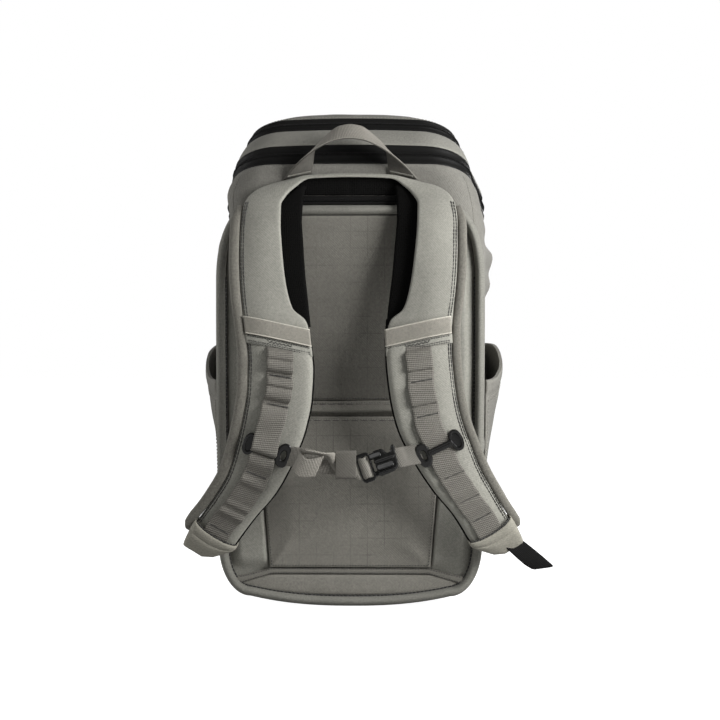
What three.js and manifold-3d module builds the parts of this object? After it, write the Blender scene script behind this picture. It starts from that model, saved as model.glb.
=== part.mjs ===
// Tactical daypack of about 22 litres, standing on its base. Millimetres, +Z up.
// The origin is the centre of the base; the harness faces -Y and the wearer's right hand side is +X.
import * as THREE from "three";
import { mergeVertices } from "three/addons/utils/BufferGeometryUtils.js";
import Module from "manifold-3d";

const wasm = await Module();
wasm.setup();

// Driving dimensions
const GAP = 0.3; // between sewn neighbours
const WALL = 3; // padded pack cloth
const FRONT_CROWN = 9; // how far the stuffed front bulges
const BACK = -85; // y of the back wall, where the harness panel is sewn on
const PANEL_THICK = 4.2;
const PAD_FRONT = -100; // y of the crest of the back pads
const RIM_WIDTH = 10;
const RIM_FRONT = -99;
const WEB = 25; // harness webbing width
const WEB_THICK = 1.8;
const STERNUM_WEB = 20;
const TAIL_WEB = 18;
const STRAP_THICK = 12;
const STRAP_FRONT = 3; // strap face, measured from the middle surface of the harness tables
const STRAP_SET_BACK = STRAP_FRONT - STRAP_THICK / 2;
const YOKE_THICK = 6;
const LINING_THICK = 6;
const BINDING_WIDTH = 7.6;
const BINDING_THICK = 9;
const POCKET_WALL = 2;

// Sections of the pack from the base up. Each lies in a plane that falls towards the front by its slope.
const named = (columns, rows) =>
  rows.map((row) => Object.fromEntries(columns.map((name, i) => [name, row[i]])));
const SECTION = ["zBack", "slope", "halfBack", "halfFront", "back", "front", "backCorner", "frontCorner"];
const SECTIONS = named(SECTION, [
  [0, 0, 84, 84, -70, 60, 30, 30],
  [2.5, 0, 98, 98, -78, 73, 32, 36],
  [10, 0, 110, 111, -83, 83, 28, 42],
  [28, 0, 123, 124, BACK, 91, 18, 46],
  [70, 0, 131.5, 132, BACK, 96, 12, 48],
  [180, 0, 133.5, 134, BACK, 99, 12, 48],
  [300, 0.03, 133.5, 134, BACK, 97, 12, 50],
  [328, 0.06, 133.5, 134, BACK, 96, 13, 50],
  [342, 0.09, 133.5, 134, BACK, 95, 15, 51],
  [356, 0.12, 133.2, 134, BACK, 94, 17, 52],
  [374, 0.17, 132.5, 134, BACK, 93, 21, 52],
  [402, 0.26, 130.5, 134, BACK, 91, 30, 54],
  [424, 0.34, 128, 133.5, BACK, 89, 37, 56],
  [442, 0.4, 123.5, 133, BACK, 86, 42, 56],
]);
// Edges of the lid, each in its own sloping plane, from the main zip up to the top panel.
const [MAIN_ZIP_TOP, LID_ZIP_LOW, LID_ZIP_TOP] = named(SECTION, [
  [460, 0.4, 113, 129, -76, 78, 44, 54],
  [477, 0.41, 109, 121, -61, 68, 42, 50],
  [489, 0.42, 103, 114, -49, 56, 38, 46],
]);
const LID_CROWN = 21.4;
const BODY_SPLIT = 6; // row where the straight lower walls end and the folded upper walls begin
// Soft folds of the side walls: out where the rise is positive, in where it is negative.
const SIDE_FOLDS = [
  { z: 350, y: 8, left: 7, right: 10, tall: 14, deep: 48 },
  { z: 324, y: 2, left: 4, right: 6, tall: 11, deep: 44 },
  { z: 390, y: -40, left: -8, right: 1.5, tall: 18, deep: 62 },
];

// Shoulder yoke, from the strap joint up and over to the middle. x is a distance from the middle.
const YOKE = [
  { outerX: 101, outerZ: 280.3, outerY: -151.5, innerX: 36.5, innerZ: 266.3, innerY: -140.5 },
  { outerX: 102.5, outerZ: 292, outerY: -149.5, innerX: 41, innerZ: 283.5, innerY: -141 },
  { outerX: 104, outerZ: 302, outerY: -147.5, innerX: 54, innerZ: 296, innerY: -141 },
  { outerX: 105.5, outerZ: 315, outerY: -145, innerX: 60, innerZ: 315, innerY: -140 },
  { outerX: 107.5, outerZ: 345, outerY: -137, innerX: 64.5, innerZ: 345, innerY: -134 },
  { outerX: 108, outerZ: 379, outerY: -123, innerX: 67.5, innerZ: 381, innerY: -123 },
  { outerX: 105.3, outerZ: 401, outerY: -109, innerX: 67.8, innerZ: 399.6, innerY: -113 },
  { outerX: 94, outerZ: 415.5, outerY: -95, innerX: 63.3, innerZ: 410, innerY: -103.5 },
  { outerX: 67, outerZ: 424.6, outerY: -88.6, innerX: 53.4, innerZ: 418.6, innerY: -97 },
  { outerX: 41.5, outerZ: 430, outerY: -88, innerX: 40, innerZ: 425.4, innerY: -95 },
  { outerX: 0, outerZ: 431.4, outerY: -88, innerX: 0, innerZ: 426.6, innerY: -95 },
];
const YOKE_EDGE_THICK = 4.4; // where the yoke is sewn to the pack
// Free edge of the black strap lining, and how far it runs under the yoke.
const LINING = [
  { x: 37.2, z: 279, y: -139, lap: 12 },
  { x: 39.5, z: 302, y: -137.5, lap: 12 },
  { x: 43, z: 333, y: -132.5, lap: 12 },
  { x: 45.4, z: 364, y: -124, lap: 12 },
  { x: 47.2, z: 389, y: -115.5, lap: 11 },
  { x: 46.6, z: 408, y: -104.4, lap: 6 },
  { x: 46, z: 413, y: -101, lap: 1 },
];
// Lower straps, outer seam and inner edge. The right strap swings further out than the left.
const STRAP = [
  { outerX: 101, outerZ: 279.7, outerY: -151.5, innerX: 36.5, innerZ: 265.7, innerY: -140.5, swing: 0 },
  { outerX: 97.6, outerZ: 246, outerY: -156, innerX: 33.8, innerZ: 236, innerY: -143, swing: 5 },
  { outerX: 98, outerZ: 220, outerY: -157, innerX: 35.2, innerZ: 208, innerY: -143, swing: 7 },
  { outerX: 102, outerZ: 192.3, outerY: -156, innerX: 41.2, innerZ: 178, innerY: -142, swing: 8 },
  { outerX: 109, outerZ: 162, outerY: -153, innerX: 54.8, innerZ: 143.8, innerY: -139, swing: 11 },
  { outerX: 117.4, outerZ: 135.2, outerY: -148, innerX: 71.5, innerZ: 114, innerY: -134, swing: 13.5 },
  { outerX: 133, outerZ: 109.2, outerY: -140, innerX: 93, innerZ: 88.8, innerY: -126, swing: 12 },
  { outerX: 150, outerZ: 86.6, outerY: -131, innerX: 112.3, innerZ: 63.3, innerY: -117, swing: 8 },
  { outerX: 154, outerZ: 79.5, outerY: -128.4, innerX: 117, innerZ: 56, innerY: -114.4, swing: 8 },
];
const CAP_ROW = 7; // row of the table where the end cap's hem lies
const REFINE = 3; // stations made from each row
const STRAP_END_THICK = 9;
const SWING_LIFT = 4; // the right strap's end sits this much higher
const CROSS_BAND = { up: 9, down: 7.5, thick: 2 };
// Bar tacks of the ladder webbing, as shares of the strap's length, and the loops between them.
const TACKS = [0.05, 0.17, 0.3, 0.43, 0.52, 0.64, 0.75, 0.84, 1];
const LOOP_RISE = 4.2;
const SLIDER_AT = 0.475;
const SLIDER = { lobeIn: 14, lobeOut: 25, tall: 30, thick: 4, barTall: 6, barThick: 3.2, barLift: 2.6 };
const CAP = { inner: 48.4, deep: 16.4, wall: 2, up: 1.5, down: 27, middle: -1.2, shortInside: 10 };

// Grab handle, one half: its near edge and its far edge, from the foot to the crest.
const HANDLE = [
  { nearX: 67, nearY: -86.4, nearZ: 427.2, farX: 38.5, farY: -86.4, farZ: 432.9 },
  { nearX: 58, nearY: -95, nearZ: 437, farX: 37.5, farY: -87.4, farZ: 443 },
  { nearX: 44, nearY: -106, nearZ: 448.5, farX: 36, farY: -87.6, farZ: 456 },
  { nearX: 28, nearY: -111.5, nearZ: 458.5, farX: 24, farY: -92, farZ: 470 },
  { nearX: 12, nearY: -114, nearZ: 464.5, farX: 10, farY: -96, farZ: 479.5 },
  { nearX: 0, nearY: -114.5, nearZ: 465.8, farX: 0, farY: -96.5, farZ: 481 },
];
const HANDLE_THICK = 2;

// Side pockets: a sheet from its back seam to its front seam, with a sloping mouth that stands open.
const POCKET = {
  yBack: -58,
  yFront: 62,
  zLow: 34,
  shoulder: 180,
  mouthBack: 226,
  mouthFront: 264,
  open: 15,
  openFrom: 130,
  openFull: 245,
};

// Rim of the harness panel: an arched top, nearly straight sides and a bowed foot.
const RIM = {
  top: 401,
  half: 134.8,
  archX: 99,
  archZ: 325,
  sideLow: 62,
  halfLow: 132,
  footX: 100,
  footRise: 9.8,
};

// Colours
const OLIVE_GREY = 0x85827a;
const OLIVE_DARK = 0x6f6c64;
const WEB_GREY = 0x7a756c;
const BLACK_CLOTH = 0x1c1b1a;
const BLACK_PLASTIC = 0x161616;
const cloth = (color) => new THREE.MeshStandardMaterial({ color, roughness: 0.9, metalness: 0 });
const PACK_CLOTH = cloth(OLIVE_GREY);
const PANEL_CLOTH = cloth(OLIVE_DARK);
const WEBBING = cloth(WEB_GREY);
const BLACK_FABRIC = cloth(BLACK_CLOTH);
const PLASTIC = new THREE.MeshStandardMaterial({ color: BLACK_PLASTIC, roughness: 0.4, metalness: 0 });

const pack = new THREE.Group();
const SIDES = { left: -1, right: 1 };
const vec = (x, y, z) => new THREE.Vector3(x, y, z);
const mix = (a, b, share) => a.clone().lerp(b, share);
const smooth = (share) => {
  const s = Math.min(1, Math.max(0, share));
  return s * s * (3 - 2 * s);
};

function add(name, geometry, material) {
  const mesh = new THREE.Mesh(geometry, material);
  mesh.name = name;
  pack.add(mesh);
}

// Turns points and triangles into a geometry whose faces point out.
function closed(points, faces) {
  let volume = 0;
  for (const [a, b, c] of faces) volume += points[a].dot(points[b].clone().cross(points[c]));
  const turned = volume < 0 ? faces.map(([a, b, c]) => [a, c, b]) : faces;
  const geometry = new THREE.BufferGeometry().setFromPoints(points);
  geometry.setIndex(turned.flat());
  return geometry;
}

// A solid through rings of equal point count, capped at both ends or joined into a loop.
function loft(rings, loop = false) {
  const count = rings[0].length;
  const faces = [];
  const spans = loop ? rings.length : rings.length - 1;
  for (let r = 0; r < spans; r++) {
    const low = r * count;
    const high = ((r + 1) % rings.length) * count;
    for (let i = 0; i < count; i++) {
      const j = (i + 1) % count;
      faces.push([low + i, low + j, high + j], [low + i, high + j, high + i]);
    }
  }
  if (!loop) {
    const last = (rings.length - 1) * count;
    for (let i = 1; i < count - 1; i++) {
      faces.push([0, i + 1, i], [last, last + i, last + i + 1]);
    }
  }
  return closed(rings.flat(), faces);
}

function solidOf(geometry) {
  const bare = geometry.clone();
  bare.deleteAttribute("normal");
  bare.deleteAttribute("uv");
  const merged = mergeVertices(bare, 1e-4);
  const mesh = new wasm.Mesh({
    numProp: 3,
    vertProperties: new Float32Array(merged.attributes.position.array),
    triVerts: new Uint32Array(merged.index.array),
  });
  return new wasm.Manifold(mesh);
}

function geometryOf(solid) {
  const { vertProperties, triVerts } = solid.getMesh();
  const geometry = new THREE.BufferGeometry();
  geometry.setAttribute("position", new THREE.BufferAttribute(vertProperties, 3));
  geometry.setIndex(new THREE.BufferAttribute(triVerts, 1));
  return geometry;
}

// Pack shell

// Corner counts of a section, from the middle of the back round one side to the middle of the front.
const STEPS = { backFlat: 3, backCorner: 4, side: 4, frontCorner: 4, frontFlat: 3 };
const HALF_RING = Object.values(STEPS).reduce((sum, n) => sum + n);
const RING = 2 * HALF_RING;
const HINGE_AT = STEPS.backFlat + STEPS.backCorner + STEPS.side + STEPS.frontCorner;

function halfPlan(row, inset) {
  const halfBack = row.halfBack - inset;
  const halfFront = row.halfFront - inset;
  const back = row.back + inset;
  const front = row.front - inset;
  const backCorner = Math.max(row.backCorner - inset, 4);
  const frontCorner = Math.max(row.frontCorner - inset, 4);
  const points = [];
  for (let i = 0; i < STEPS.backFlat; i++) {
    points.push([((halfBack - backCorner) * i) / STEPS.backFlat, back]);
  }
  for (let i = 0; i < STEPS.backCorner; i++) {
    const turn = (Math.PI / 2) * (i / STEPS.backCorner);
    points.push([
      halfBack - backCorner + backCorner * Math.sin(turn),
      back + backCorner - backCorner * Math.cos(turn),
    ]);
  }
  const sideFrom = [halfBack, back + backCorner];
  const sideTo = [halfFront, front - frontCorner];
  for (let i = 0; i < STEPS.side; i++) {
    const share = i / STEPS.side;
    points.push([
      sideFrom[0] + (sideTo[0] - sideFrom[0]) * share,
      sideFrom[1] + (sideTo[1] - sideFrom[1]) * share,
    ]);
  }
  for (let i = 0; i < STEPS.frontCorner; i++) {
    const turn = (Math.PI / 2) * (i / STEPS.frontCorner);
    points.push([
      halfFront - frontCorner + frontCorner * Math.cos(turn),
      front - frontCorner + frontCorner * Math.sin(turn),
    ]);
  }
  for (let i = 0; i <= STEPS.frontFlat; i++) {
    points.push([(halfFront - frontCorner) * (1 - i / STEPS.frontFlat), front]);
  }
  return points;
}

function foldRise(side, y, z) {
  return SIDE_FOLDS.reduce((sum, fold) => {
    const rise = side < 0 ? fold.left : fold.right;
    return sum + rise * Math.exp(-(((z - fold.z) / fold.tall) ** 2) - ((y - fold.y) / fold.deep) ** 2);
  }, 0);
}

// One ring of the pack's skin, moved in by inset and raised by lift.
function skinRing(row, inset = 0, lift = 0) {
  const half = halfPlan(row, inset);
  const place = (side, [x, y]) => {
    const z = row.zBack - row.slope * (y - row.back) + lift;
    const frontShare = Math.max(0, y / row.front);
    const crown = FRONT_CROWN * frontShare ** 3 * Math.max(0, 1 - (x / row.halfFront) ** 2);
    const sideShare = smooth((x / row.halfFront - 0.8) / 0.2);
    return vec(side * (x + sideShare * foldRise(side, y, z)), y + (row.zBack > 5 ? crown : 0), z);
  };
  const right = half.map((point) => place(1, point));
  const left = half.slice(1, -1).map((point) => place(-1, point));
  return [...right, ...left.reverse()];
}

// The shell below the side folds: a tub with a floor.
function bodyLower() {
  const rows = SECTIONS.slice(0, BODY_SPLIT + 1);
  const outer = rows.map((row, i) => skinRing(row, 0, i === BODY_SPLIT ? -GAP : 0));
  const inner = rows.slice(2).map((row, i) => skinRing(row, WALL, i + 2 === BODY_SPLIT ? -GAP : 0));
  const floor = skinRing(SECTIONS[0], WALL - 2, WALL);
  return loft([...outer, ...inner.reverse(), floor]);
}

// The shell from the side folds up to the main zip: a tube.
function bodyUpper() {
  const rows = SECTIONS.slice(BODY_SPLIT);
  const outer = rows.map((row) => skinRing(row));
  const inner = rows.filter((row, i) => i !== 1 && i !== 3).map((row) => skinRing(row, WALL));
  return loft([...outer, ...inner.reverse()], true);
}

// A band of cloth or zip tape between two lid edges; stations counts ring points from the middle of the back.
function bandSection(low, high, index, profile) {
  const i = ((index % RING) + RING) % RING;
  const lowOut = skinRing(low, 0, GAP)[i];
  const highOut = skinRing(high, 0, -GAP)[i];
  const lowIn = skinRing(low, WALL, GAP)[i];
  const highIn = skinRing(high, WALL, -GAP)[i];
  const out = lowOut.clone().sub(lowIn).add(highOut.clone().sub(highIn)).normalize();
  const skin = profile.map(([share, rise]) => mix(lowOut, highOut, share).addScaledVector(out, rise));
  return [...skin, highIn, lowIn];
}

const ZIP_PROFILE = [
  [0, 0],
  [0.38, 1.6],
  [0.62, 1.6],
  [1, 0],
];
const CLOTH_PROFILE = [
  [0, 0],
  [0.5, 1.2],
  [1, 0],
];

function zipBand(low, high) {
  const rings = [];
  for (let i = -HINGE_AT; i <= HINGE_AT; i++) rings.push(bandSection(low, high, i, ZIP_PROFILE));
  return loft(rings);
}

function hingeBand(low, high) {
  const rings = [];
  const last = RING - HINGE_AT;
  for (let i = HINGE_AT; i <= last; i++) rings.push(bandSection(low, high, i, CLOTH_PROFILE));
  const trim = (ring, inner) =>
    ring.forEach((p, k) => p.addScaledVector(inner[k].clone().sub(p).normalize(), GAP));
  trim(rings[0], rings[1]);
  trim(rings.at(-1), rings.at(-2));
  return loft(rings);
}

function clothBand(low, high) {
  const rings = [];
  for (let i = 0; i < RING; i++) rings.push(bandSection(low, high, i, CLOTH_PROFILE));
  return loft(rings, true);
}

// Domed top panel, open below.
function lidTop() {
  const shares = [1, 0.93, 0.78, 0.55, 0.28];
  const dome = (inset) => {
    const edge = skinRing(LID_ZIP_TOP, inset, GAP);
    const middleY = (LID_ZIP_TOP.back + LID_ZIP_TOP.front) / 2;
    const middle = vec(0, middleY, LID_ZIP_TOP.zBack - LID_ZIP_TOP.slope * (middleY - LID_ZIP_TOP.back));
    return shares.map((share) =>
      edge.map((p) => {
        const q = mix(middle, p, share);
        q.z += LID_CROWN * (1 - share ** 2.6) - (share < 1 ? inset : 0);
        return q;
      }),
    );
  };
  const outer = dome(0);
  const inner = dome(WALL).reverse();
  const rings = [...outer.reverse(), ...inner.reverse()];
  return loft(rings);
}

// Harness panel

// Half of the rim's outer outline in x and z, from the top middle to the foot's middle.
function rimHalf(inset) {
  const points = [];
  const archHalf = RIM.half - RIM.archX;
  const archRise = RIM.top - RIM.archZ;
  const footHalf = RIM.halfLow - RIM.footX;
  const footTall = RIM.sideLow - RIM.footRise;
  for (let i = 0; i < 4; i++) points.push([(RIM.archX * i) / 4, RIM.top - inset]);
  for (let i = 0; i <= 6; i++) {
    const turn = (Math.PI / 2) * (i / 6);
    points.push([
      RIM.archX + (archHalf - inset) * Math.sin(turn) ** 0.92,
      RIM.archZ + (archRise - inset) * Math.cos(turn) ** 0.92,
    ]);
  }
  for (let i = 1; i < 5; i++) {
    const share = i / 5;
    points.push([
      RIM.half + (RIM.halfLow - RIM.half) * share ** 2 - inset,
      RIM.archZ + (RIM.sideLow - RIM.archZ) * share,
    ]);
  }
  for (let i = 0; i <= 5; i++) {
    const turn = (Math.PI / 2) * (i / 5);
    points.push([
      RIM.footX + (footHalf - inset) * Math.cos(turn),
      RIM.sideLow - (footTall - inset) * Math.sin(turn),
    ]);
  }
  for (let i = 1; i <= 4; i++) {
    const x = RIM.footX * (1 - i / 4);
    points.push([x, RIM.footRise * (x / RIM.footX) ** 2.4 + inset]);
  }
  return points;
}

function rimLoop(inset) {
  const half = rimHalf(inset);
  const mirrored = half
    .slice(1, -1)
    .reverse()
    .map(([x, z]) => [-x, z]);
  return [...half, ...mirrored];
}

function atDepth(loop, y) {
  return loop.map(([x, z]) => vec(x, y, z));
}

// The rim's section, as steps in from the outline and depths.
const RIM_SECTION = [
  { inset: 1, y: BACK - GAP },
  { inset: 0.2, y: BACK - 6 },
  { inset: 2.2, y: RIM_FRONT + 2 },
  { inset: 5, y: RIM_FRONT },
  { inset: 8, y: RIM_FRONT + 2.4 },
  { inset: RIM_WIDTH, y: BACK - 6 },
  { inset: RIM_WIDTH, y: BACK - GAP },
];

function rim() {
  return loft(
    RIM_SECTION.map(({ inset, y }) => atDepth(rimLoop(inset), y)),
    true,
  );
}

function harnessPanel() {
  const edge = RIM_WIDTH + 0.5;
  const front = BACK - PANEL_THICK;
  return loft([
    atDepth(rimLoop(edge), BACK - GAP),
    atDepth(rimLoop(edge), front + 1.2),
    atDepth(rimLoop(edge + 2), front),
  ]);
}

// A pad outline: a trapezium with round corners, in x and z.
function padLoop({ zLow, zHigh, halfLow, halfHigh, radius }, inset) {
  const corners = [
    [halfHigh - inset, zHigh - inset, 0],
    [halfLow - inset, zLow + inset, 1],
    [-(halfLow - inset), zLow + inset, 2],
    [-(halfHigh - inset), zHigh - inset, 3],
  ];
  const r = Math.max(radius - inset, 3);
  const points = [];
  for (const [x, z, quarter] of corners) {
    const cx = x - Math.sign(x) * r;
    const cz = quarter === 0 || quarter === 3 ? z - r : z + r;
    for (let i = 0; i <= 3; i++) {
      const turn = Math.PI / 2 - (quarter + i / 3) * (Math.PI / 2);
      points.push([cx + r * Math.cos(turn), cz + r * Math.sin(turn)]);
    }
  }
  return points;
}

// A crowned foam pad on the harness panel.
function pad(shape, front) {
  const rear = BACK - PANEL_THICK - GAP;
  const rise = rear - front;
  const steps = [
    { inset: 0.8, share: 0 },
    { inset: 0, share: 0.35 },
    { inset: 2.5, share: 0.78 },
    { inset: 9, share: 1 },
  ];
  return loft(steps.map(({ inset, share }) => atDepth(padLoop(shape, inset), rear - rise * share)));
}

const UPPER_PAD = { zLow: 205, zHigh: 388, halfLow: 94, halfHigh: 84, radius: 16 };
const LOWER_PAD = { zLow: 42.5, zHigh: 186, halfLow: 80.5, halfHigh: 92.5, radius: 6 };
const HEM = { zLow: 188, zHigh: 203.2, half: 118, front: -94.5 };
const TAPE = { half: 109, knee: 79, zOut: 33.5, zKnee: 40, wideOut: 9, wide: 8, front: -92 };
const LENS = { half: 98, zLow: 11.2, zTop: 31, zEdge: 25.5, lowRise: 9.3, front: -94.5 };

function seamTape() {
  const rear = BACK - PANEL_THICK - GAP;
  const stations = [
    [-TAPE.half, TAPE.zOut, TAPE.wideOut],
    [-TAPE.knee, TAPE.zKnee, TAPE.wide],
    [TAPE.knee, TAPE.zKnee, TAPE.wide],
    [TAPE.half, TAPE.zOut, TAPE.wideOut],
  ];
  return loft(
    stations.map(([x, z, wide]) => [
      vec(x, rear, z),
      vec(x, TAPE.front, z - 0.8),
      vec(x, TAPE.front, z - wide + 0.8),
      vec(x, rear, z - wide),
    ]),
  );
}

// Lens-shaped pad under the seam tape.
function lensPad() {
  const rear = BACK - PANEL_THICK - GAP;
  const rings = [];
  for (let i = 0; i <= 10; i++) {
    const share = -1 + (2 * i) / 10;
    const x = LENS.half * share;
    const fade = Math.max(0.08, 1 - share ** 4);
    const knee = Math.min(1, (1 - Math.abs(share)) / (1 - TAPE.knee / LENS.half));
    const top = LENS.zEdge + (LENS.zTop - LENS.zEdge) * knee;
    const low = LENS.zLow + LENS.lowRise * Math.abs(share) ** 2.2;
    const front = rear + (LENS.front - rear) * fade;
    rings.push([
      vec(x, rear, top),
      vec(x, rear + (front - rear) * 0.6, top),
      vec(x, front, mix(vec(0, 0, top), vec(0, 0, low), 0.3).z),
      vec(x, front, mix(vec(0, 0, top), vec(0, 0, low), 0.7).z),
      vec(x, rear + (front - rear) * 0.6, low),
      vec(x, rear, low),
    ]);
  }
  return loft(rings);
}

function slab(xHalf, zLow, zHigh, rear, front, round = 0.8) {
  const ring = (y, inset) => [
    vec(-xHalf + inset, y, zLow + inset),
    vec(xHalf - inset, y, zLow + inset),
    vec(xHalf - inset, y, zHigh - inset),
    vec(-xHalf + inset, y, zHigh - inset),
  ];
  return loft([ring(rear, 0), ring(front + round, 0), ring(front, round)]);
}

// Zip of the flat rear pocket, under the yoke's arch.
const REAR_ZIP = { half: 90, zLow: 401.6, zHigh: 410.6, front: -88.4, coil: -89.6 };
function rearZip() {
  const rear = BACK - GAP;
  const ring = (x) => [
    vec(x, rear, REAR_ZIP.zLow),
    vec(x, REAR_ZIP.front, REAR_ZIP.zLow),
    vec(x, REAR_ZIP.coil, mix(vec(0, 0, REAR_ZIP.zLow), vec(0, 0, REAR_ZIP.zHigh), 0.5).z),
    vec(x, REAR_ZIP.front, REAR_ZIP.zHigh),
    vec(x, rear, REAR_ZIP.zHigh),
  ];
  return loft([ring(-REAR_ZIP.half), ring(REAR_ZIP.half)]);
}

// Harness ribbons

// Doubles a row of stations with a smooth curve through them.
function refine(stations, steps) {
  const curves = ["a", "b"].map(
    (edge) => new THREE.CatmullRomCurve3(stations.map((s) => s[edge]), false, "centripetal"),
  );
  const count = (stations.length - 1) * steps;
  const made = [];
  for (let i = 0; i <= count; i++) {
    made.push({ a: curves[0].getPoint(i / count), b: curves[1].getPoint(i / count) });
  }
  return made;
}

// Adds to each station its direction along the strip, across it, and out of its face.
function framed(stations, facing) {
  return stations.map((station, i) => {
    const before = stations[Math.max(0, i - 1)];
    const after = stations[Math.min(stations.length - 1, i + 1)];
    const along = mix(after.a, after.b, 0.5).sub(mix(before.a, before.b, 0.5)).normalize();
    const across = station.b.clone().sub(station.a);
    const width = across.length();
    across.normalize();
    const out = along.clone().cross(across).normalize();
    if (out.dot(facing) < 0) out.negate();
    return { ...station, along, across, out, width };
  });
}

// The frame at a share of a strip's length.
function frameAt(strip, share) {
  const place = Math.min(strip.length - 1.0001, Math.max(0, share * (strip.length - 1)));
  const i = Math.floor(place);
  const f = place - i;
  const blend = (key) => mix(strip[i][key], strip[i + 1][key], f);
  const a = blend("a");
  const b = blend("b");
  return {
    a,
    b,
    middle: mix(a, b, 0.5),
    along: blend("along").normalize(),
    across: b.clone().sub(a).normalize(),
    out: blend("out").normalize(),
    width: a.distanceTo(b),
  };
}

// Ring of a padded ribbon: round edges, a crowned face and a flat back, at a depth out of the frame.
function padRing(frame, thick, depth, crown = 0.8) {
  const { a, across, out, width } = frame;
  const edge = Math.min(3, width * 0.2);
  const half = thick / 2;
  const at = (w, n) => a.clone().addScaledVector(across, w).addScaledVector(out, depth + n);
  return [
    at(0.4, -half * 0.7),
    at(0, 0),
    at(0.6, half * 0.72),
    at(edge, half),
    at(width / 2, half + crown),
    at(width - edge, half),
    at(width - 0.6, half * 0.72),
    at(width, 0),
    at(width - 0.4, -half * 0.7),
    at(width / 2, -half),
  ];
}

// Ring of flat webbing, centred on a frame.
function webRing(middle, across, out, wide, thick) {
  const at = (w, n) => middle.clone().addScaledVector(across, w * wide).addScaledVector(out, n * thick);
  return [at(-0.5, -0.5), at(-0.5, 0.5), at(0.5, 0.5), at(0.5, -0.5)];
}

const FACING = vec(0, -1, 0.35);

function yokeStations() {
  const half = YOKE.map((row) => ({
    a: vec(-row.outerX, row.outerY, row.outerZ),
    b: vec(-row.innerX, row.innerY, row.innerZ),
  }));
  const flip = (p) => vec(-p.x, p.y, p.z);
  const other = half
    .slice(0, -1)
    .reverse()
    .map(({ a, b }) => ({ a: flip(a), b: flip(b) }));
  return [...half, ...other];
}

function yoke() {
  const strip = framed(refine(yokeStations(), 2), FACING);
  const thickAt = (frame) => {
    const sewn = smooth((frame.a.z - 380) / 40);
    return YOKE_THICK + (YOKE_EDGE_THICK - YOKE_THICK) * sewn;
  };
  return loft(strip.map((frame) => padRing(frame, thickAt(frame), 0, 0.5)));
}

// Black lining: runs under the yoke's inner edge and shows beside it.
function lining(side) {
  const edgeZ = YOKE.slice(0, 8);
  const underAt = (z) => {
    const i = Math.max(1, edgeZ.findIndex((row) => row.innerZ >= z));
    const low = edgeZ[i - 1];
    const high = edgeZ[i];
    const f = (z - low.innerZ) / (high.innerZ - low.innerZ);
    return low.innerX + (high.innerX - low.innerX) * f;
  };
  const stations = LINING.map(({ x, z, y, lap }) => ({
    a: vec(side * (underAt(z) + lap), y, z),
    b: vec(side * x, y, z),
  }));
  const strip = framed(refine(stations, 2), FACING);
  const depth = -(YOKE_THICK / 2 + LINING_THICK / 2 + GAP + 0.6);
  return loft(strip.map((frame) => padRing(frame, LINING_THICK, depth, 0.2)));
}

function strapStrip(side) {
  const last = STRAP.length - 1;
  const stations = STRAP.map((row, i) => {
    const swing = side > 0 ? row.swing : 0;
    const lift = side > 0 ? SWING_LIFT * (i / last) : 0;
    return {
      a: vec(side * (row.outerX + swing), row.outerY, row.outerZ + lift),
      b: vec(side * (row.innerX + swing), row.innerY, row.innerZ + lift),
    };
  });
  return framed(refine(stations, REFINE), FACING);
}

function strap(strip) {
  return loft(
    strip.map((frame, i) => {
      const thin = smooth((i / (strip.length - 1) - 0.75) / 0.25);
      const thick = STRAP_THICK + (STRAP_END_THICK - STRAP_THICK) * thin;
      return padRing(frame, thick, STRAP_FRONT - thick / 2, 0);
    }),
  );
}

// Piped binding along the outer edge of the yoke and the strap.
function binding(side, strip) {
  const top = YOKE.slice(1, 7)
    .reverse()
    .map((row) => ({
      a: vec(side * row.outerX, row.outerY, row.outerZ),
      b: vec(side * row.innerX, row.innerY, row.innerZ),
    }));
  const low = strip.filter((frame, i) => i % 2 === 0 && i < CAP_ROW * REFINE);
  const end = frameAt(strip, (CAP_ROW * REFINE - 0.25) / (strip.length - 1));
  const edge = framed([...top, ...low, end], FACING);
  const half = BINDING_WIDTH / 2;
  const deep = BINDING_THICK / 2;
  const section = [
    { w: -1, n: 0 },
    { w: -0.72, n: 0.75 },
    { w: 0, n: 1 },
    { w: 0.9, n: 0.8 },
    { w: 0.9, n: -0.8 },
    { w: -0.5, n: -0.9 },
  ];
  return loft(
    edge.map((frame, i) => {
      const taper = Math.min(1, 0.45 + i * 0.3);
      const middle = frame.a.clone().addScaledVector(frame.across, -(half + GAP + 0.4));
      middle.addScaledVector(frame.out, STRAP_SET_BACK + 0.6);
      return section.map(({ w, n }) =>
        middle
          .clone()
          .addScaledVector(frame.across, w * half * (w < 0 ? taper : 1))
          .addScaledVector(frame.out, n * deep * taper),
      );
    }),
  );
}

// Slanted elastic band over the joint of yoke and strap.
function crossBand(side, strip) {
  const joint = strip[0];
  const down = strip[1].a.clone().sub(strip[0].a).normalize();
  const lift = STRAP_FRONT + 1.3;
  const rings = [];
  for (let i = 0; i <= 4; i++) {
    const share = i / 4;
    const middle = mix(joint.a, joint.b, 0.01 + 0.98 * share);
    const crest = 0.9 * (1 - (2 * share - 1) ** 2);
    const at = (along, n) =>
      middle
        .clone()
        .addScaledVector(down, along)
        .addScaledVector(joint.out, lift + crest + n);
    rings.push([
      at(-CROSS_BAND.up, 0),
      at(CROSS_BAND.down, 0),
      at(CROSS_BAND.down, CROSS_BAND.thick),
      at(-CROSS_BAND.up, CROSS_BAND.thick),
    ]);
  }
  return loft(rings);
}

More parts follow.
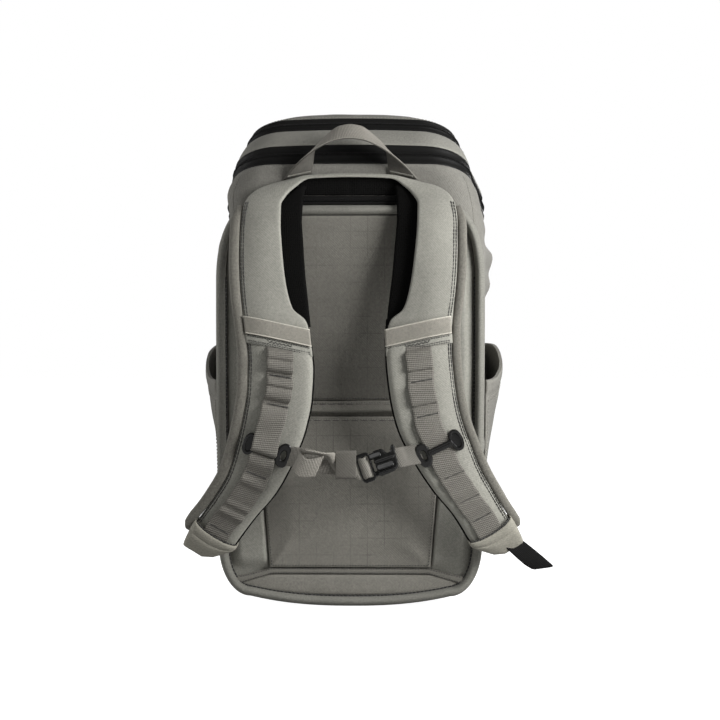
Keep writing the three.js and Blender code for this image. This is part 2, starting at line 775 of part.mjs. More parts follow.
// Ladder webbing, tacked down at intervals and looped between.
function ladder(strip) {
  const rings = [];
  const rest = STRAP_FRONT + GAP + WEB_THICK / 2;
  for (let k = 0; k < TACKS.length - 1; k++) {
    const steps = 6;
    for (let i = k === 0 ? 0 : 1; i <= steps; i++) {
      const f = i / steps;
      const underSlider = k === 3;
      const share = TACKS[k] + (TACKS[k + 1] - TACKS[k]) * f;
      const rise = underSlider || k === TACKS.length - 2 ? 0 : LOOP_RISE * Math.sin(Math.PI * f) ** 2;
      const frame = frameAt(strip, share);
      const middle = frame.middle.addScaledVector(frame.out, rest + rise);
      rings.push(webRing(middle, frame.across, frame.out, WEB, WEB_THICK));
    }
  }
  return loft(rings);
}

// Sternum slider: two lobes beside the webbing and a bar across it.
function slider(strip) {
  const frame = frameAt(strip, SLIDER_AT);
  const half = SLIDER.tall / 2;
  const lobe = (from, to, slotted) => {
    const shape = new THREE.Shape();
    const mid = (from + to) / 2;
    const sign = Math.sign(mid);
    const inner = sign > 0 ? from : to;
    const outer = sign > 0 ? to : from;
    shape.moveTo(inner, -half);
    shape.bezierCurveTo(outer - sign * 3, -half, outer, -half * 0.62, outer, 0);
    shape.bezierCurveTo(outer, half * 0.62, outer - sign * 3, half, inner, half);
    shape.closePath();
    if (slotted) {
      const slot = new THREE.Path();
      slot.moveTo(mid - 1.2, -half * 0.62);
      slot.lineTo(mid + 1.8, -half * 0.55);
      slot.lineTo(mid + 1.8, half * 0.55);
      slot.lineTo(mid - 1.2, half * 0.62);
      slot.closePath();
      shape.holes.push(slot);
    }
    const made = new THREE.ExtrudeGeometry(shape, {
      depth: SLIDER.thick - 1.2,
      curveSegments: 4,
      bevelSize: 0.6,
      bevelThickness: 0.6,
      bevelSegments: 1,
    });
    return made.translate(0, 0, 0.6);
  };
  const bar = new THREE.BoxGeometry(2 * SLIDER.lobeIn + 6, SLIDER.barTall, SLIDER.barThick);
  bar.translate(0, 0, SLIDER.barLift + SLIDER.barThick / 2);
  const solid = solidOf(lobe(-SLIDER.lobeOut, -SLIDER.lobeIn, false))
    .add(solidOf(lobe(SLIDER.lobeIn, SLIDER.lobeOut, true)))
    .add(solidOf(bar));
  const up = frame.along.clone().negate();
  const right = up.clone().cross(frame.out).normalize();
  const level = frame.out.clone().cross(right).normalize();
  const place = new THREE.Matrix4().makeBasis(right, level, frame.out);
  place.setPosition(frame.middle.addScaledVector(frame.out, STRAP_FRONT + 0.5));
  return geometryOf(solid).applyMatrix4(place);
}

// Strap end cap: a cloth cup that the strap's end goes into.
function capFrame(strip) {
  const end = strip[CAP_ROW * REFINE];
  return {
    ...end,
    middle: mix(end.a, end.b, 0.5).addScaledVector(end.out, CAP.middle),
  };
}

function endCap(strip) {
  const frame = capFrame(strip);
  const across = frame.across;
  const thickness = frame.along.clone().cross(across).normalize();
  if (thickness.dot(frame.out) < 0) thickness.negate();
  const oval = (down, halfWide, halfDeep, skew) => {
    const points = [];
    for (let i = 0; i < 14; i++) {
      const turn = (2 * Math.PI * i) / 14;
      const c = Math.cos(turn);
      const s = Math.sin(turn);
      const w = Math.sign(c) * Math.abs(c) ** 0.36 * halfWide;
      const n = Math.sign(s) * Math.abs(s) ** 0.46 * halfDeep;
      points.push(
        frame.middle
          .clone()
          .addScaledVector(across, w)
          .addScaledVector(thickness, n)
          .addScaledVector(frame.along, down - skew * Math.max(0, w / halfWide) ** 2),
      );
    }
    return points;
  };
  const wide = CAP.inner / 2;
  const deep = CAP.deep / 2;
  const wall = CAP.wall;
  return loft([
    oval(CAP.down, (wide + wall) * 0.86, (deep + wall) * 0.5, CAP.shortInside),
    oval(CAP.down - 3, (wide + wall) * 0.96, (deep + wall) * 0.85, CAP.shortInside),
    oval(CAP.down - 9, wide + wall, deep + wall, CAP.shortInside * 0.5),
    oval(-CAP.up, wide + wall, deep + wall, 0),
    oval(-CAP.up, wide, deep, 0),
    oval(CAP.down - 11, wide, deep, CAP.shortInside * 0.4),
    oval(CAP.down - 6, wide * 0.9, deep * 0.7, CAP.shortInside),
  ]);
}

// A length of webbing through hand-placed stations: its middle and the way its width runs.
function webbing(stations, wide, thick, steps = 3) {
  const rows = stations.map(({ at, wideAlong }) => {
    const half = wideAlong.clone().normalize().multiplyScalar(wide / 2);
    return { a: at.clone().sub(half), b: at.clone().add(half) };
  });
  const strip = framed(refine(rows, steps), vec(0, 0, 0));
  let before = null;
  return loft(
    strip.map((frame) => {
      if (before && frame.out.dot(before) < 0) frame.out.negate();
      before = frame.out;
      return webRing(mix(frame.a, frame.b, 0.5), frame.across, frame.out, frame.width, thick);
    }),
  );
}

function capFoot(strip, outward, beyond) {
  const frame = capFrame(strip);
  return frame.middle
    .clone()
    .addScaledVector(frame.along, CAP.down + beyond)
    .addScaledVector(frame.across, -outward);
}

// Black webbing from the back of the end cap to the lower corner of the pack.
function anchorWeb(side, strip) {
  const frame = capFrame(strip);
  const rear = CAP.deep / 2 + CAP.wall + GAP;
  const start = frame.middle.clone().addScaledVector(frame.along, 8).addScaledVector(frame.out, -rear);
  const next = start.clone().addScaledVector(frame.out, -7);
  return webbing(
    [
      { at: start, wideAlong: frame.across },
      { at: next, wideAlong: mix(frame.across, vec(-side * 0.2, 0, -1), 0.4) },
      { at: vec(side * 133.8, -86, 62), wideAlong: vec(-side * 0.1, 0, -1) },
      { at: vec(side * 132.4, -62, 60), wideAlong: vec(-side * 0.06, 0, -1) },
    ],
    WEB,
    WEB_THICK,
  );
}

// Free end of the right adjuster, with its end folded over.
function adjusterTail(strip) {
  const frame = capFrame(strip);
  const start = capFoot(strip, 13, 0.8);
  const tilt = vec(0.36, 0.74, 0.58);
  return webbing(
    [
      { at: start, wideAlong: mix(frame.across.clone().negate(), tilt, 0.7) },
      { at: vec(172, -114, 56), wideAlong: tilt },
      { at: vec(184, -114, 47.5), wideAlong: tilt },
      { at: vec(192, -115, 43), wideAlong: vec(0.2, 0.75, 0.55) },
      { at: vec(200, -116, 41.5), wideAlong: vec(0.05, 0.85, 0.4) },
    ],
    TAIL_WEB,
    WEB_THICK,
  );
}

function grabHandle() {
  const half = HANDLE.map((row) => ({
    a: vec(-row.nearX, row.nearY, row.nearZ),
    b: vec(-row.farX, row.farY, row.farZ),
  }));
  const flip = (p) => vec(-p.x, p.y, p.z);
  const other = half
    .slice(0, -1)
    .reverse()
    .map(({ a, b }) => ({ a: flip(a), b: flip(b) }));
  const strip = framed(refine([...half, ...other], 3), vec(0, 0, 0));
  let before = null;
  return loft(
    strip.map((frame) => {
      if (before && frame.out.dot(before) < 0) frame.out.negate();
      before = frame.out;
      return webRing(mix(frame.a, frame.b, 0.5), frame.across, frame.out, frame.width, HANDLE_THICK);
    }),
  );
}

// Side wall of the pack at a depth and height, as a distance from the middle.
function sideAt(side, y, z) {
  const i = Math.max(1, SECTIONS.findIndex((row) => row.zBack >= z));
  const low = SECTIONS[i - 1];
  const high = SECTIONS[i];
  const f = (z - low.zBack) / (high.zBack - low.zBack);
  const round = (half, radius, past) => half - radius + Math.sqrt(Math.max(0, radius ** 2 - past ** 2));
  const outline = (row) => {
    const from = row.back + row.backCorner;
    const to = row.front - row.frontCorner;
    if (y < from) return round(row.halfBack, row.backCorner, from - y);
    if (y > to) return round(row.halfFront, row.frontCorner, y - to);
    return row.halfBack + ((row.halfFront - row.halfBack) * (y - from)) / (to - from);
  };
  return outline(low) + (outline(high) - outline(low)) * f + foldRise(side, y, z);
}

// Bottle pocket: a sheet sewn to the side wall, standing open at its sloping mouth.
function sidePocket(side) {
  const across = 10;
  const upper = 3;
  const levels = [POCKET.zLow, 70, 115, 150, POCKET.shoulder];
  const grid = (offset) => {
    const rows = [];
    for (let j = 0; j < levels.length + upper; j++) {
      const row = [];
      for (let i = 0; i <= across; i++) {
        const s = i / across;
        const y = POCKET.yBack + (POCKET.yFront - POCKET.yBack) * s;
        const mouth = POCKET.mouthBack + (POCKET.mouthFront - POCKET.mouthBack) * smooth(s);
        const above = Math.max(0, j - levels.length + 1) / upper;
        const z = (levels[j] ?? POCKET.shoulder) + (mouth - POCKET.shoulder) * above;
        const opened = smooth((z - POCKET.openFrom) / (POCKET.openFull - POCKET.openFrom));
        const stand = POCKET.open * Math.sin(Math.PI * s) ** 0.7 * opened;
        row.push(vec(side * (sideAt(side, y, z) + 0.7 + stand + offset), y, z));
      }
      rows.push(row);
    }
    return rows;
  };
  const inner = grid(0);
  const outer = grid(POCKET_WALL);
  const rings = inner.map((row, j) => [...row, ...outer[j].slice().reverse()]);
  return stripLoft(rings, across + 1);
}

// A loft of thin folded rings whose ends are capped as strips of quads.
function stripLoft(rings, half) {
  const count = rings[0].length;
  const faces = [];
  for (let r = 0; r < rings.length - 1; r++) {
    for (let i = 0; i < count; i++) {
      const j = (i + 1) % count;
      const low = r * count;
      const high = low + count;
      faces.push([low + i, low + j, high + j], [low + i, high + j, high + i]);
    }
  }
  const last = (rings.length - 1) * count;
  for (let i = 0; i < half - 1; i++) {
    const far = count - 1 - i;
    faces.push([i, far, far - 1], [i, far - 1, i + 1]);
    faces.push([last + i, last + far - 1, last + far], [last + i, last + i + 1, last + far - 1]);
  }
  return closed(rings.flat(), faces);
}

// Sternum strap

const STERNUM = { y: -166, keeperX: -2.2, keeperZ: 143.5, frameX: 18.4, frameZ: 141.5, buckleTurn: 0.33 };

function sternumPlace(x, z, turn) {
  const place = new THREE.Matrix4().makeRotationY(-turn);
  place.setPosition(vec(x, STERNUM.y, z));
  return place;
}

// A plate seen from the front, extruded in y, with its edges chamfered.
function frontPlate(shape, thick, chamfer) {
  const made = new THREE.ExtrudeGeometry(shape, {
    depth: thick - 2 * chamfer,
    curveSegments: 4,
    bevelSize: chamfer,
    bevelThickness: chamfer,
    bevelSegments: 1,
  });
  return made.translate(0, 0, chamfer - thick / 2).rotateX(Math.PI / 2);
}

function boxShape(wide, tall, round) {
  const shape = new THREE.Shape();
  const x = wide / 2;
  const z = tall / 2;
  shape.moveTo(-x + round, -z);
  shape.lineTo(x - round, -z);
  shape.quadraticCurveTo(x, -z, x, -z + round);
  shape.lineTo(x, z - round);
  shape.quadraticCurveTo(x, z, x - round, z);
  shape.lineTo(-x + round, z);
  shape.quadraticCurveTo(-x, z, -x, z - round);
  shape.lineTo(-x, -z + round);
  shape.quadraticCurveTo(-x, -z, -x + round, -z);
  return shape;
}

const KEEPER = { wide: 15, tall: 26, deep: 9.4, wall: 1.8 };
function keeper() {
  const outer = boxShape(KEEPER.deep, KEEPER.tall, 3);
  outer.holes.push(boxShape(KEEPER.deep - 2 * KEEPER.wall, KEEPER.tall - 2 * KEEPER.wall, 1.6));
  const made = new THREE.ExtrudeGeometry(outer, {
    depth: KEEPER.wide,
    bevelEnabled: false,
    curveSegments: 3,
  });
  made.translate(0, 0, -KEEPER.wide / 2);
  made.applyMatrix4(new THREE.Matrix4().makeBasis(vec(0, 1, 0), vec(0, 0, 1), vec(1, 0, 0)));
  return made.applyMatrix4(sternumPlace(STERNUM.keeperX, STERNUM.keeperZ, 0));
}

const BUCKLE = { frameWide: 14, bodyWide: 23, tall: 26, thick: 8, apart: 21.6 };
const buckleRight = () => vec(Math.cos(STERNUM.buckleTurn), 0, Math.sin(STERNUM.buckleTurn));
const buckleUp = () => vec(-Math.sin(STERNUM.buckleTurn), 0, Math.cos(STERNUM.buckleTurn));

function buckleFrame() {
  const shape = boxShape(BUCKLE.frameWide, BUCKLE.tall + 3, 5);
  const hole = (x, wide) => {
    const path = boxShape(wide, STERNUM_WEB + 1.5, 1);
    return new THREE.Path(path.getPoints(2).map((p) => new THREE.Vector2(p.x + x, p.y)));
  };
  shape.holes.push(hole(-2.8, 3.6), hole(3.2, 3.2));
  const made = frontPlate(shape, 6, 0.8);
  return made.applyMatrix4(sternumPlace(STERNUM.frameX, STERNUM.frameZ, STERNUM.buckleTurn));
}

function buckleBody() {
  const shape = new THREE.Shape();
  const x = BUCKLE.bodyWide / 2;
  const z = BUCKLE.tall / 2;
  shape.moveTo(-x, -z + 3);
  shape.quadraticCurveTo(-x, -z, -x + 3, -z);
  shape.lineTo(x - 8, -z + 1.5);
  shape.quadraticCurveTo(x, -z + 2, x, -z + 8);
  shape.lineTo(x, z - 9);
  shape.quadraticCurveTo(x - 1, z - 5, x - 6, z - 4);
  shape.quadraticCurveTo(x - 11, z - 3, x - 13, z);
  shape.lineTo(-x + 3, z - 1);
  shape.quadraticCurveTo(-x, z - 1, -x, z - 4);
  shape.closePath();
  const ridge = new THREE.BoxGeometry(17, 3, 3).translate(0, -BUCKLE.thick / 2, -4.5);
  const thumb = new THREE.CylinderGeometry(5, 5, 3, 14).translate(-2, -BUCKLE.thick / 2, 4.5);
  const solid = solidOf(frontPlate(shape, BUCKLE.thick, 1.4)).add(solidOf(ridge)).add(solidOf(thumb));
  const shift = buckleRight().multiplyScalar(BUCKLE.apart);
  const place = sternumPlace(STERNUM.frameX + shift.x, STERNUM.frameZ + shift.z, STERNUM.buckleTurn);
  return geometryOf(solid).applyMatrix4(place);
}

function sternumWebs(left, right) {
  const up = vec(0, 0, 1);
  const from = frameAt(left, SLIDER_AT);
  const to = frameAt(right, SLIDER_AT);
  const reach = SLIDER.lobeOut + 1.6;
  const beside = (frame) =>
    frame.middle.clone().addScaledVector(frame.across, reach).addScaledVector(frame.out, STRAP_FRONT + 2.4);
  const start = beside(from);
  const end = beside(to);
  const centre = vec(STERNUM.frameX, STERNUM.y, STERNUM.frameZ);
  const atFrame = centre.clone().addScaledVector(buckleRight(), -(BUCKLE.frameWide / 2 + 1.4));
  const bodyEnd = BUCKLE.apart + BUCKLE.bodyWide / 2 + 2.7;
  const atBody = centre.clone().addScaledVector(buckleRight(), bodyEnd);
  const shift = (p, y) => p.clone().add(vec(0, y, 0));
  const inKeeper = (x, y) => vec(x, STERNUM.y + y, STERNUM.keeperZ);
  const webLeft = webbing(
    [
      { at: start, wideAlong: from.along.clone().negate() },
      { at: vec(-38, STERNUM.y + 6, 149.5), wideAlong: vec(0.12, 0, 1) },
      { at: vec(-22, STERNUM.y + 3, 145.5), wideAlong: up },
      { at: inKeeper(-9, 1.3), wideAlong: up },
      { at: inKeeper(2, 1.3), wideAlong: vec(-0.03, 0, 1) },
      { at: shift(atFrame, 1.3), wideAlong: buckleUp() },
    ],
    STERNUM_WEB,
    WEB_THICK,
  );
  const slack = webbing(
    [
      { at: shift(atFrame, -1.3), wideAlong: buckleUp() },
      { at: inKeeper(2, -1.3), wideAlong: vec(-0.03, 0, 1) },
      { at: inKeeper(-9, -1.3), wideAlong: up },
      { at: vec(-20, STERNUM.y - 2, 145), wideAlong: vec(0.15, 0, 1) },
      { at: vec(-33, STERNUM.y - 3.5, 147.5), wideAlong: vec(0.35, -0.1, 1) },
      { at: vec(-42.5, STERNUM.y - 6.5, 145), wideAlong: vec(0.55, -0.3, 1) },
      { at: vec(-40.5, STERNUM.y - 10.5, 139), wideAlong: vec(0.75, -0.5, 0.85) },
      { at: vec(-32.5, STERNUM.y - 11.5, 136), wideAlong: vec(0.6, -0.3, 0.9) },
    ],
    STERNUM_WEB,
    WEB_THICK,
  );
  const webRight = webbing(
    [
      { at: atBody, wideAlong: buckleUp() },
      { at: mix(atBody, end, 0.5), wideAlong: mix(buckleUp(), to.along.clone().negate(), 0.5) },
      { at: end, wideAlong: to.along.clone().negate() },
    ],
    STERNUM_WEB,
    WEB_THICK,
  );
  return { webLeft, slack, webRight };
}

// Assembly

add("body_lower", bodyLower(), PACK_CLOTH);
add("body_upper", bodyUpper(), PACK_CLOTH);
const MAIN_ZIP_LOW = SECTIONS.at(-1);
add("zip_main", zipBand(MAIN_ZIP_LOW, MAIN_ZIP_TOP), BLACK_FABRIC);
add("lid_hinge", hingeBand(MAIN_ZIP_LOW, MAIN_ZIP_TOP), PACK_CLOTH);
add("lid_wall", clothBand(MAIN_ZIP_TOP, LID_ZIP_LOW), PACK_CLOTH);
add("zip_lid", zipBand(LID_ZIP_LOW, LID_ZIP_TOP), BLACK_FABRIC);
add("top_hinge", hingeBand(LID_ZIP_LOW, LID_ZIP_TOP), PACK_CLOTH);
add("lid_top", lidTop(), PACK_CLOTH);

add("back_rim", rim(), PACK_CLOTH);
add("back_panel", harnessPanel(), PANEL_CLOTH);
add("back_pad_upper", pad(UPPER_PAD, PAD_FRONT), PANEL_CLOTH);
add("back_pad_lower", pad(LOWER_PAD, PAD_FRONT), PANEL_CLOTH);
const PANEL_FACE = BACK - PANEL_THICK - GAP;
add("pass_through_hem", slab(HEM.half, HEM.zLow, HEM.zHigh, PANEL_FACE, HEM.front), PANEL_CLOTH);
add("seam_tape", seamTape(), PANEL_CLOTH);
add("lumbar_pad", lensPad(), PANEL_CLOTH);
add("rear_zip", rearZip(), BLACK_FABRIC);
add("collar_panel", slab(56, 411, 428.5, BACK - GAP, -87, 0.4), BLACK_FABRIC);

add("shoulder_yoke", yoke(), PACK_CLOTH);
const strips = {};
for (const [name, side] of Object.entries(SIDES)) {
  const strip = strapStrip(side);
  strips[name] = strip;
  add("lining_" + name, lining(side), BLACK_FABRIC);
  add("strap_" + name, strap(strip), PACK_CLOTH);
  add("binding_" + name, binding(side, strip), WEBBING);
  add("cross_band_" + name, crossBand(side, strip), WEBBING);
  add("ladder_" + name, ladder(strip), WEBBING);
  add("slider_" + name, slider(strip), PLASTIC);
  add("end_cap_" + name, endCap(strip), PACK_CLOTH);
  add("anchor_web_" + name, anchorWeb(side, strip), BLACK_FABRIC);
  add("side_pocket_" + name, sidePocket(side), PACK_CLOTH);
}
add("adjuster_tail", adjusterTail(strips.right), BLACK_FABRIC);
add("grab_handle", grabHandle(), WEBBING);

const webs = sternumWebs(strips.left, strips.right);
add("sternum_web_left", webs.webLeft, WEBBING);
add("sternum_slack", webs.slack, WEBBING);
add("sternum_web_right", webs.webRight, WEBBING);
add("sternum_keeper", keeper(), WEBBING);
add("buckle_frame", buckleFrame(), PLASTIC);
add("buckle_body", buckleBody(), PLASTIC);

export default pack;
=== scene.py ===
# Grey daypack with a padded harness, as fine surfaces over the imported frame.
# Tables are in millimetres and the scene is in metres.
# The harness faces -Y, +X is the viewer's right and +Z is up.
import math
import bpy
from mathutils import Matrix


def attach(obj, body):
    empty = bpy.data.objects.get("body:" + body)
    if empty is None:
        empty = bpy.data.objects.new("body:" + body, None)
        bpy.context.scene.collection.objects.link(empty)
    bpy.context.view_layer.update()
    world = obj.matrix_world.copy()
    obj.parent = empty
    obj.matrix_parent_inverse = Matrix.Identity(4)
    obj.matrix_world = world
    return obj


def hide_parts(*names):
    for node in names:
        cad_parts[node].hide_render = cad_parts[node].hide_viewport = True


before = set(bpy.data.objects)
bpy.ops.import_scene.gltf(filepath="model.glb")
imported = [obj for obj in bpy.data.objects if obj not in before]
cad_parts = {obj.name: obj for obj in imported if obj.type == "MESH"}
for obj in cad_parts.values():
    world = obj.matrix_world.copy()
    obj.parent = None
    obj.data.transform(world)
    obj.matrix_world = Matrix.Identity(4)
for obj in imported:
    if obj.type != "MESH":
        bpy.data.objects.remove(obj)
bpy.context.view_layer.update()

from types import SimpleNamespace as Sizes

import bpy
import numpy as np
from mathutils import Vector, noise

MM = 0.001

# Driving sizes, the same as the frame's
GAP = 0.3
WALL = 3.0
FRONT_CROWN = 9.0
BACK = -85.0
PANEL_FACE = -89.5
WEB = 25.0
WEB_THICK = 1.8
STERNUM_WEB = 20.0
STRAP_THICK = 12.0
STRAP_END_THICK = 9.0
STRAP_FRONT = 3.0
YOKE_THICK = 6.0
YOKE_EDGE_THICK = 4.4
LINING_THICK = 6.0
HANDLE_THICK = 2.0
POCKET_WALL = 2.0

# Pack sections from the base up: back height, fall to the front, half width at back and front,
# back y, front y, back and front corner radius
SECTIONS = [
    (0, 0, 84, 84, -70, 60, 30, 30),
    (2.5, 0, 98, 98, -78, 73, 32, 36),
    (10, 0, 110, 111, -83, 83, 28, 42),
    (28, 0, 123, 124, BACK, 91, 18, 46),
    (70, 0, 131.5, 132, BACK, 96, 12, 48),
    (180, 0, 133.5, 134, BACK, 99, 12, 48),
    (300, 0.03, 133.5, 134, BACK, 97, 12, 50),
    (328, 0.06, 133.5, 134, BACK, 96, 13, 50),
    (342, 0.09, 133.5, 134, BACK, 95, 15, 51),
    (356, 0.12, 133.2, 134, BACK, 94, 17, 52),
    (374, 0.17, 132.5, 134, BACK, 93, 21, 52),
    (402, 0.26, 130.5, 134, BACK, 91, 30, 54),
    (424, 0.34, 128, 133.5, BACK, 89, 37, 56),
    (442, 0.4, 122, 134.5, BACK, 86, 42, 56),
]
MAIN_ZIP_LOW = SECTIONS[-1]
MAIN_ZIP_TOP = (460, 0.4, 119.5, 132.5, -76, 78, 44, 54)
LID_ZIP_LOW = (477, 0.41, 111, 120, -61, 68, 42, 50)
LID_ZIP_TOP = (489, 0.42, 105, 113, -49, 56, 38, 46)
LID_CROWN = 21.4
LID_ARCH = 4.0
# Soft folds of the side walls: height, depth, rise on the left, rise on the right, half height, half depth
SIDE_FOLDS = [
    (350, 8, 7, 10, 14, 48),
    (324, 2, 4, 6, 11, 44),
    (390, -40, -8, 1.5, 18, 62),
]

# Yoke from the strap joint up to the middle: outer edge x, z, y, then inner edge x, z, y
YOKE = [
    (101, 280.3, -151.5, 36.5, 266.3, -140.5),
    (102.5, 292, -149.5, 41, 283.5, -141),
    (104, 302, -147.5, 54, 296, -141),
    (105.5, 315, -145, 60, 315, -140),
    (107.5, 345, -137, 64.5, 345, -134),
    (108, 379, -123, 67.5, 381, -123),
    (105.3, 401, -109, 67.8, 399.6, -113),
    (94, 415.5, -95, 63.3, 410, -103.5),
    (67, 424.6, -88.6, 53.4, 420.2, -96.6),
    (41.5, 430, -88, 40, 428.2, -94.4),
    (0, 431.4, -88, 0, 429.6, -94.4),
]
# Free edge of the black lining: x, z, y, and how far it runs under the yoke
LINING = [
    (37.2, 279, -139, 12),
    (39.5, 302, -137.5, 12),
    (43, 333, -132.5, 12),
    (45.4, 364, -124, 12),
    (47.2, 389, -115.5, 11),
    (46.6, 408, -104.4, 6),
    (46, 413, -101, 2),
    (45.4, 418, -98.5, 1.2),
    (43.8, 422.5, -96, 0.8),
]
# Lower strap: outer edge x, z, y, inner edge x, z, y, and how much further out the right strap swings
STRAP = [
    (101, 279.7, -151.5, 36.5, 265.7, -140.5, 0),
    (97.6, 246, -156, 33.8, 236, -143, 5),
    (98, 220, -157, 35.2, 208, -143, 7),
    (102, 192.3, -156, 41.2, 178, -142, 8),
    (109, 162, -153, 54.8, 143.8, -139, 11),
    (117.4, 135.2, -148, 71.5, 114, -134, 13.5),
    (133, 109.2, -140, 93, 88.8, -126, 12),
    (150, 86.6, -131, 112.3, 63.3, -117, 8),
    (154, 79.5, -128.4, 117, 56, -114.4, 8),
]
CAP_SHARE = 7 / 8  # where the end cap's hem lies on the strap
SWING_LIFT = 4.0
LADDER_START = 0.05
LADDER_TACKS = {-1: [0.17, 0.3, 0.576, 0.83], 1: [0.194, 0.346, 0.586, 0.697, 0.787]}
# Sideways drift of the ladder webbing by the share of the strap
LADDER_DRIFT = {-1: [(0, 0), (0.2, -1), (0.3, -2.5), (0.4, -5), (0.48, -2.5), (0.6, 0), (1, 0)],
                1: [(0, 0), (0.5, 1), (0.6, 2), (0.8, 1), (1, 0)]}
SLIDER_AT = 0.475

# Grab handle, one half: near edge x, y, z, then far edge x, y, z, from the foot to the crest
HANDLE = [
    (67, -86.4, 427.2, 38.5, -86.4, 432.9),
    (58, -95, 437, 37.5, -87.4, 443),
    (44, -106, 448.5, 36, -87.6, 456),
    (28, -111.5, 458.5, 24, -92, 470),
    (12, -114, 464.5, 10, -96, 479.5),
    (0, -114.5, 465.8, 0, -96.5, 481),
]

TO_VIEWER = (0, -1, 0)
UP = (0, 0, 1)

# Colours as linear light
PANEL_GREY = (0.196, 0.188, 0.164)
WEB_GREY = (0.185, 0.175, 0.153)
BLACK = (0.006, 0.0059, 0.0056)


# Arithmetic

def smooth(share):
    share = np.clip(share, 0, 1)
    return share * share * (3 - 2 * share)


def unit(v):
    return v / np.maximum(np.linalg.norm(v, axis=-1, keepdims=True), 1e-9)


def mix(a, b, share):
    return a + (b - a) * share


def turns(count):
    """Angles of one whole turn."""
    return 2 * math.pi * np.arange(count) / count


def signed_power(value, power):
    return np.sign(value) * np.abs(value) ** power


def xyz(x, y, z):
    """Points from three coordinates, each an array or one number."""
    return np.stack(np.broadcast_arrays(x, y, z), axis=-1)


def beside(lines):
    """Rings of a piece from the lines that run along it."""
    return np.stack(lines, axis=1)


def mirrored(table, columns):
    """An edge from -X to +X out of the columns of a table of its +X half."""
    edge = np.array(table, float)[:, columns]
    return np.concatenate([edge * (-1, 1, 1), edge[:-1][::-1]])


def run(points):
    """Distance along a row of points."""
    return np.concatenate([[0], np.cumsum(np.linalg.norm(np.diff(points, axis=0), axis=-1))])


def lookup(x, xp, rows):
    """Rows of any shape, read between their places xp."""
    rows = np.asarray(rows, float)
    flat = rows.reshape(len(rows), -1)
    read = np.stack([np.interp(x, xp, column) for column in flat.T], axis=-1)
    return read.reshape(np.shape(x) + rows.shape[1:])


def curve(rows, count):
    """A smooth line through rows that never swings past them."""
    rows = np.asarray(rows, float)
    last = len(rows) - 1
    place = np.linspace(0, last, count)
    i = np.minimum(place.astype(int), last - 1)
    f = (place - i).reshape((-1,) + (1,) * (rows.ndim - 1))
    step = np.diff(rows, axis=0)
    before, after = step[:-1], step[1:]
    agree = before * after > 0
    total = np.where(agree, before + after, 1)
    slope = np.zeros_like(rows)
    slope[1:-1] = np.where(agree, 2 * before * after / total, 0)
    slope[0], slope[-1] = step[0], step[-1]
    return (
        (2 * f**3 - 3 * f**2 + 1) * rows[i]
        + (f**3 - 2 * f**2 + f) * slope[i]
        + (3 * f**2 - 2 * f**3) * rows[i + 1]
        + (f**3 - f**2) * slope[i + 1]
    )


def grain(points, scale, seed=0.0):
    """Smooth noise at points, from -1 to 1."""
    points = np.asarray(points, float)
    scale = np.broadcast_to(scale, (3,))
    flat = points.reshape(-1, 3) * scale + seed
    return np.array([noise.noise(Vector(p)) for p in flat]).reshape(points.shape[:-1])


# Meshes

def make(name, points, faces, material, nodes=(), corner_uv=None, flat_faces=0):
    """A piece of the object; the last flat_faces faces stay flat."""
    points = np.asarray(points, float).reshape(-1, 3)
    mesh = bpy.data.meshes.new(name)
    mesh.from_pydata((points * MM).tolist(), [], faces)
    if corner_uv is not None:
        layer = mesh.uv_layers.new(name="UVMap")
        layer.data.foreach_set("uv", np.asarray(corner_uv, float).ravel())
    shade = np.ones(len(faces), bool)
    if flat_faces:
        shade[-flat_faces:] = False
    mesh.polygons.foreach_set("use_smooth", shade)
    mesh.update()
    piece = bpy.data.objects.new(name, mesh)
    bpy.context.collection.objects.link(piece)
    mesh.materials.append(material)
    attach(piece, "root")
    if nodes:
        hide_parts(*nodes)
    return piece


def quads(rows, size, closed=False):
    """Faces between rings of points that follow each other."""
    r, c = np.divmod(np.arange((rows if closed else rows - 1) * size), size)
    above, after = (r + 1) % rows * size, (c + 1) % size
    return np.stack([r * size + c, r * size + after, above + after, above + c], axis=1)


def loft(name, rings, material, nodes=(), loop=False, strip_caps=False):
    """A closed skin through rings of equal length, with distances over it as UV."""
    rings = np.asarray(rings, float)
    count, size = rings.shape[:2]
    wide = np.concatenate([rings, rings[:, :1]], axis=1)
    if loop:
        wide = np.concatenate([wide, wide[:1]])
    u = np.array([run(ring) for ring in wide])
    v = np.mean([run(line) for line in wide.swapaxes(0, 1)], axis=0)[:, None]
    uv = np.stack(np.broadcast_arrays(u, v), axis=-1)
    faces = quads(count, size, loop)
    r, c = np.divmod(np.arange(len(faces)), size)
    corner = np.stack([uv[r, c], uv[r, c + 1], uv[r + 1, c + 1], uv[r + 1, c]], axis=1)
    flat = rings.reshape(-1, 3)
    a, b, d, e = (flat[faces[:, k]] for k in range(4))
    volume = np.sum(a * np.cross(b, d)) + np.sum(a * np.cross(d, e))
    caps = []
    for base, sign in () if loop else ((0, -1), ((count - 1) * size, 1)):
        ring = list(range(base, base + size))
        end = [ring]
        if strip_caps:
            end = [[ring[i], ring[i + 1], ring[-2 - i], ring[-1 - i]] for i in range(size // 2 - 1)]
        caps += [face[::sign] for face in end]
        edge = flat[ring]
        volume += sign * np.sum(edge.mean(axis=0) * np.cross(edge, np.roll(edge, -1, axis=0)))
    if volume < 0:
        faces, corner = faces[:, ::-1], corner[:, ::-1]
        caps = [face[::-1] for face in caps]
    point_uv = uv[:count, :size].reshape(-1, 2)
    corner = np.concatenate([corner.reshape(-1, 2)] + [point_uv[face] for face in caps])
    return make(name, rings, faces.tolist() + caps, material, nodes, corner, len(caps))


def join(name, parts, material, nodes=()):
    """One piece from many point and face lists."""
    faces, base = [], 0
    for points, part_faces in parts:
        faces += [[i + base for i in face] for face in part_faces]
        base += len(points)
    return make(name, np.concatenate([points for points, _ in parts]), faces, material, nodes)


# Ribbons

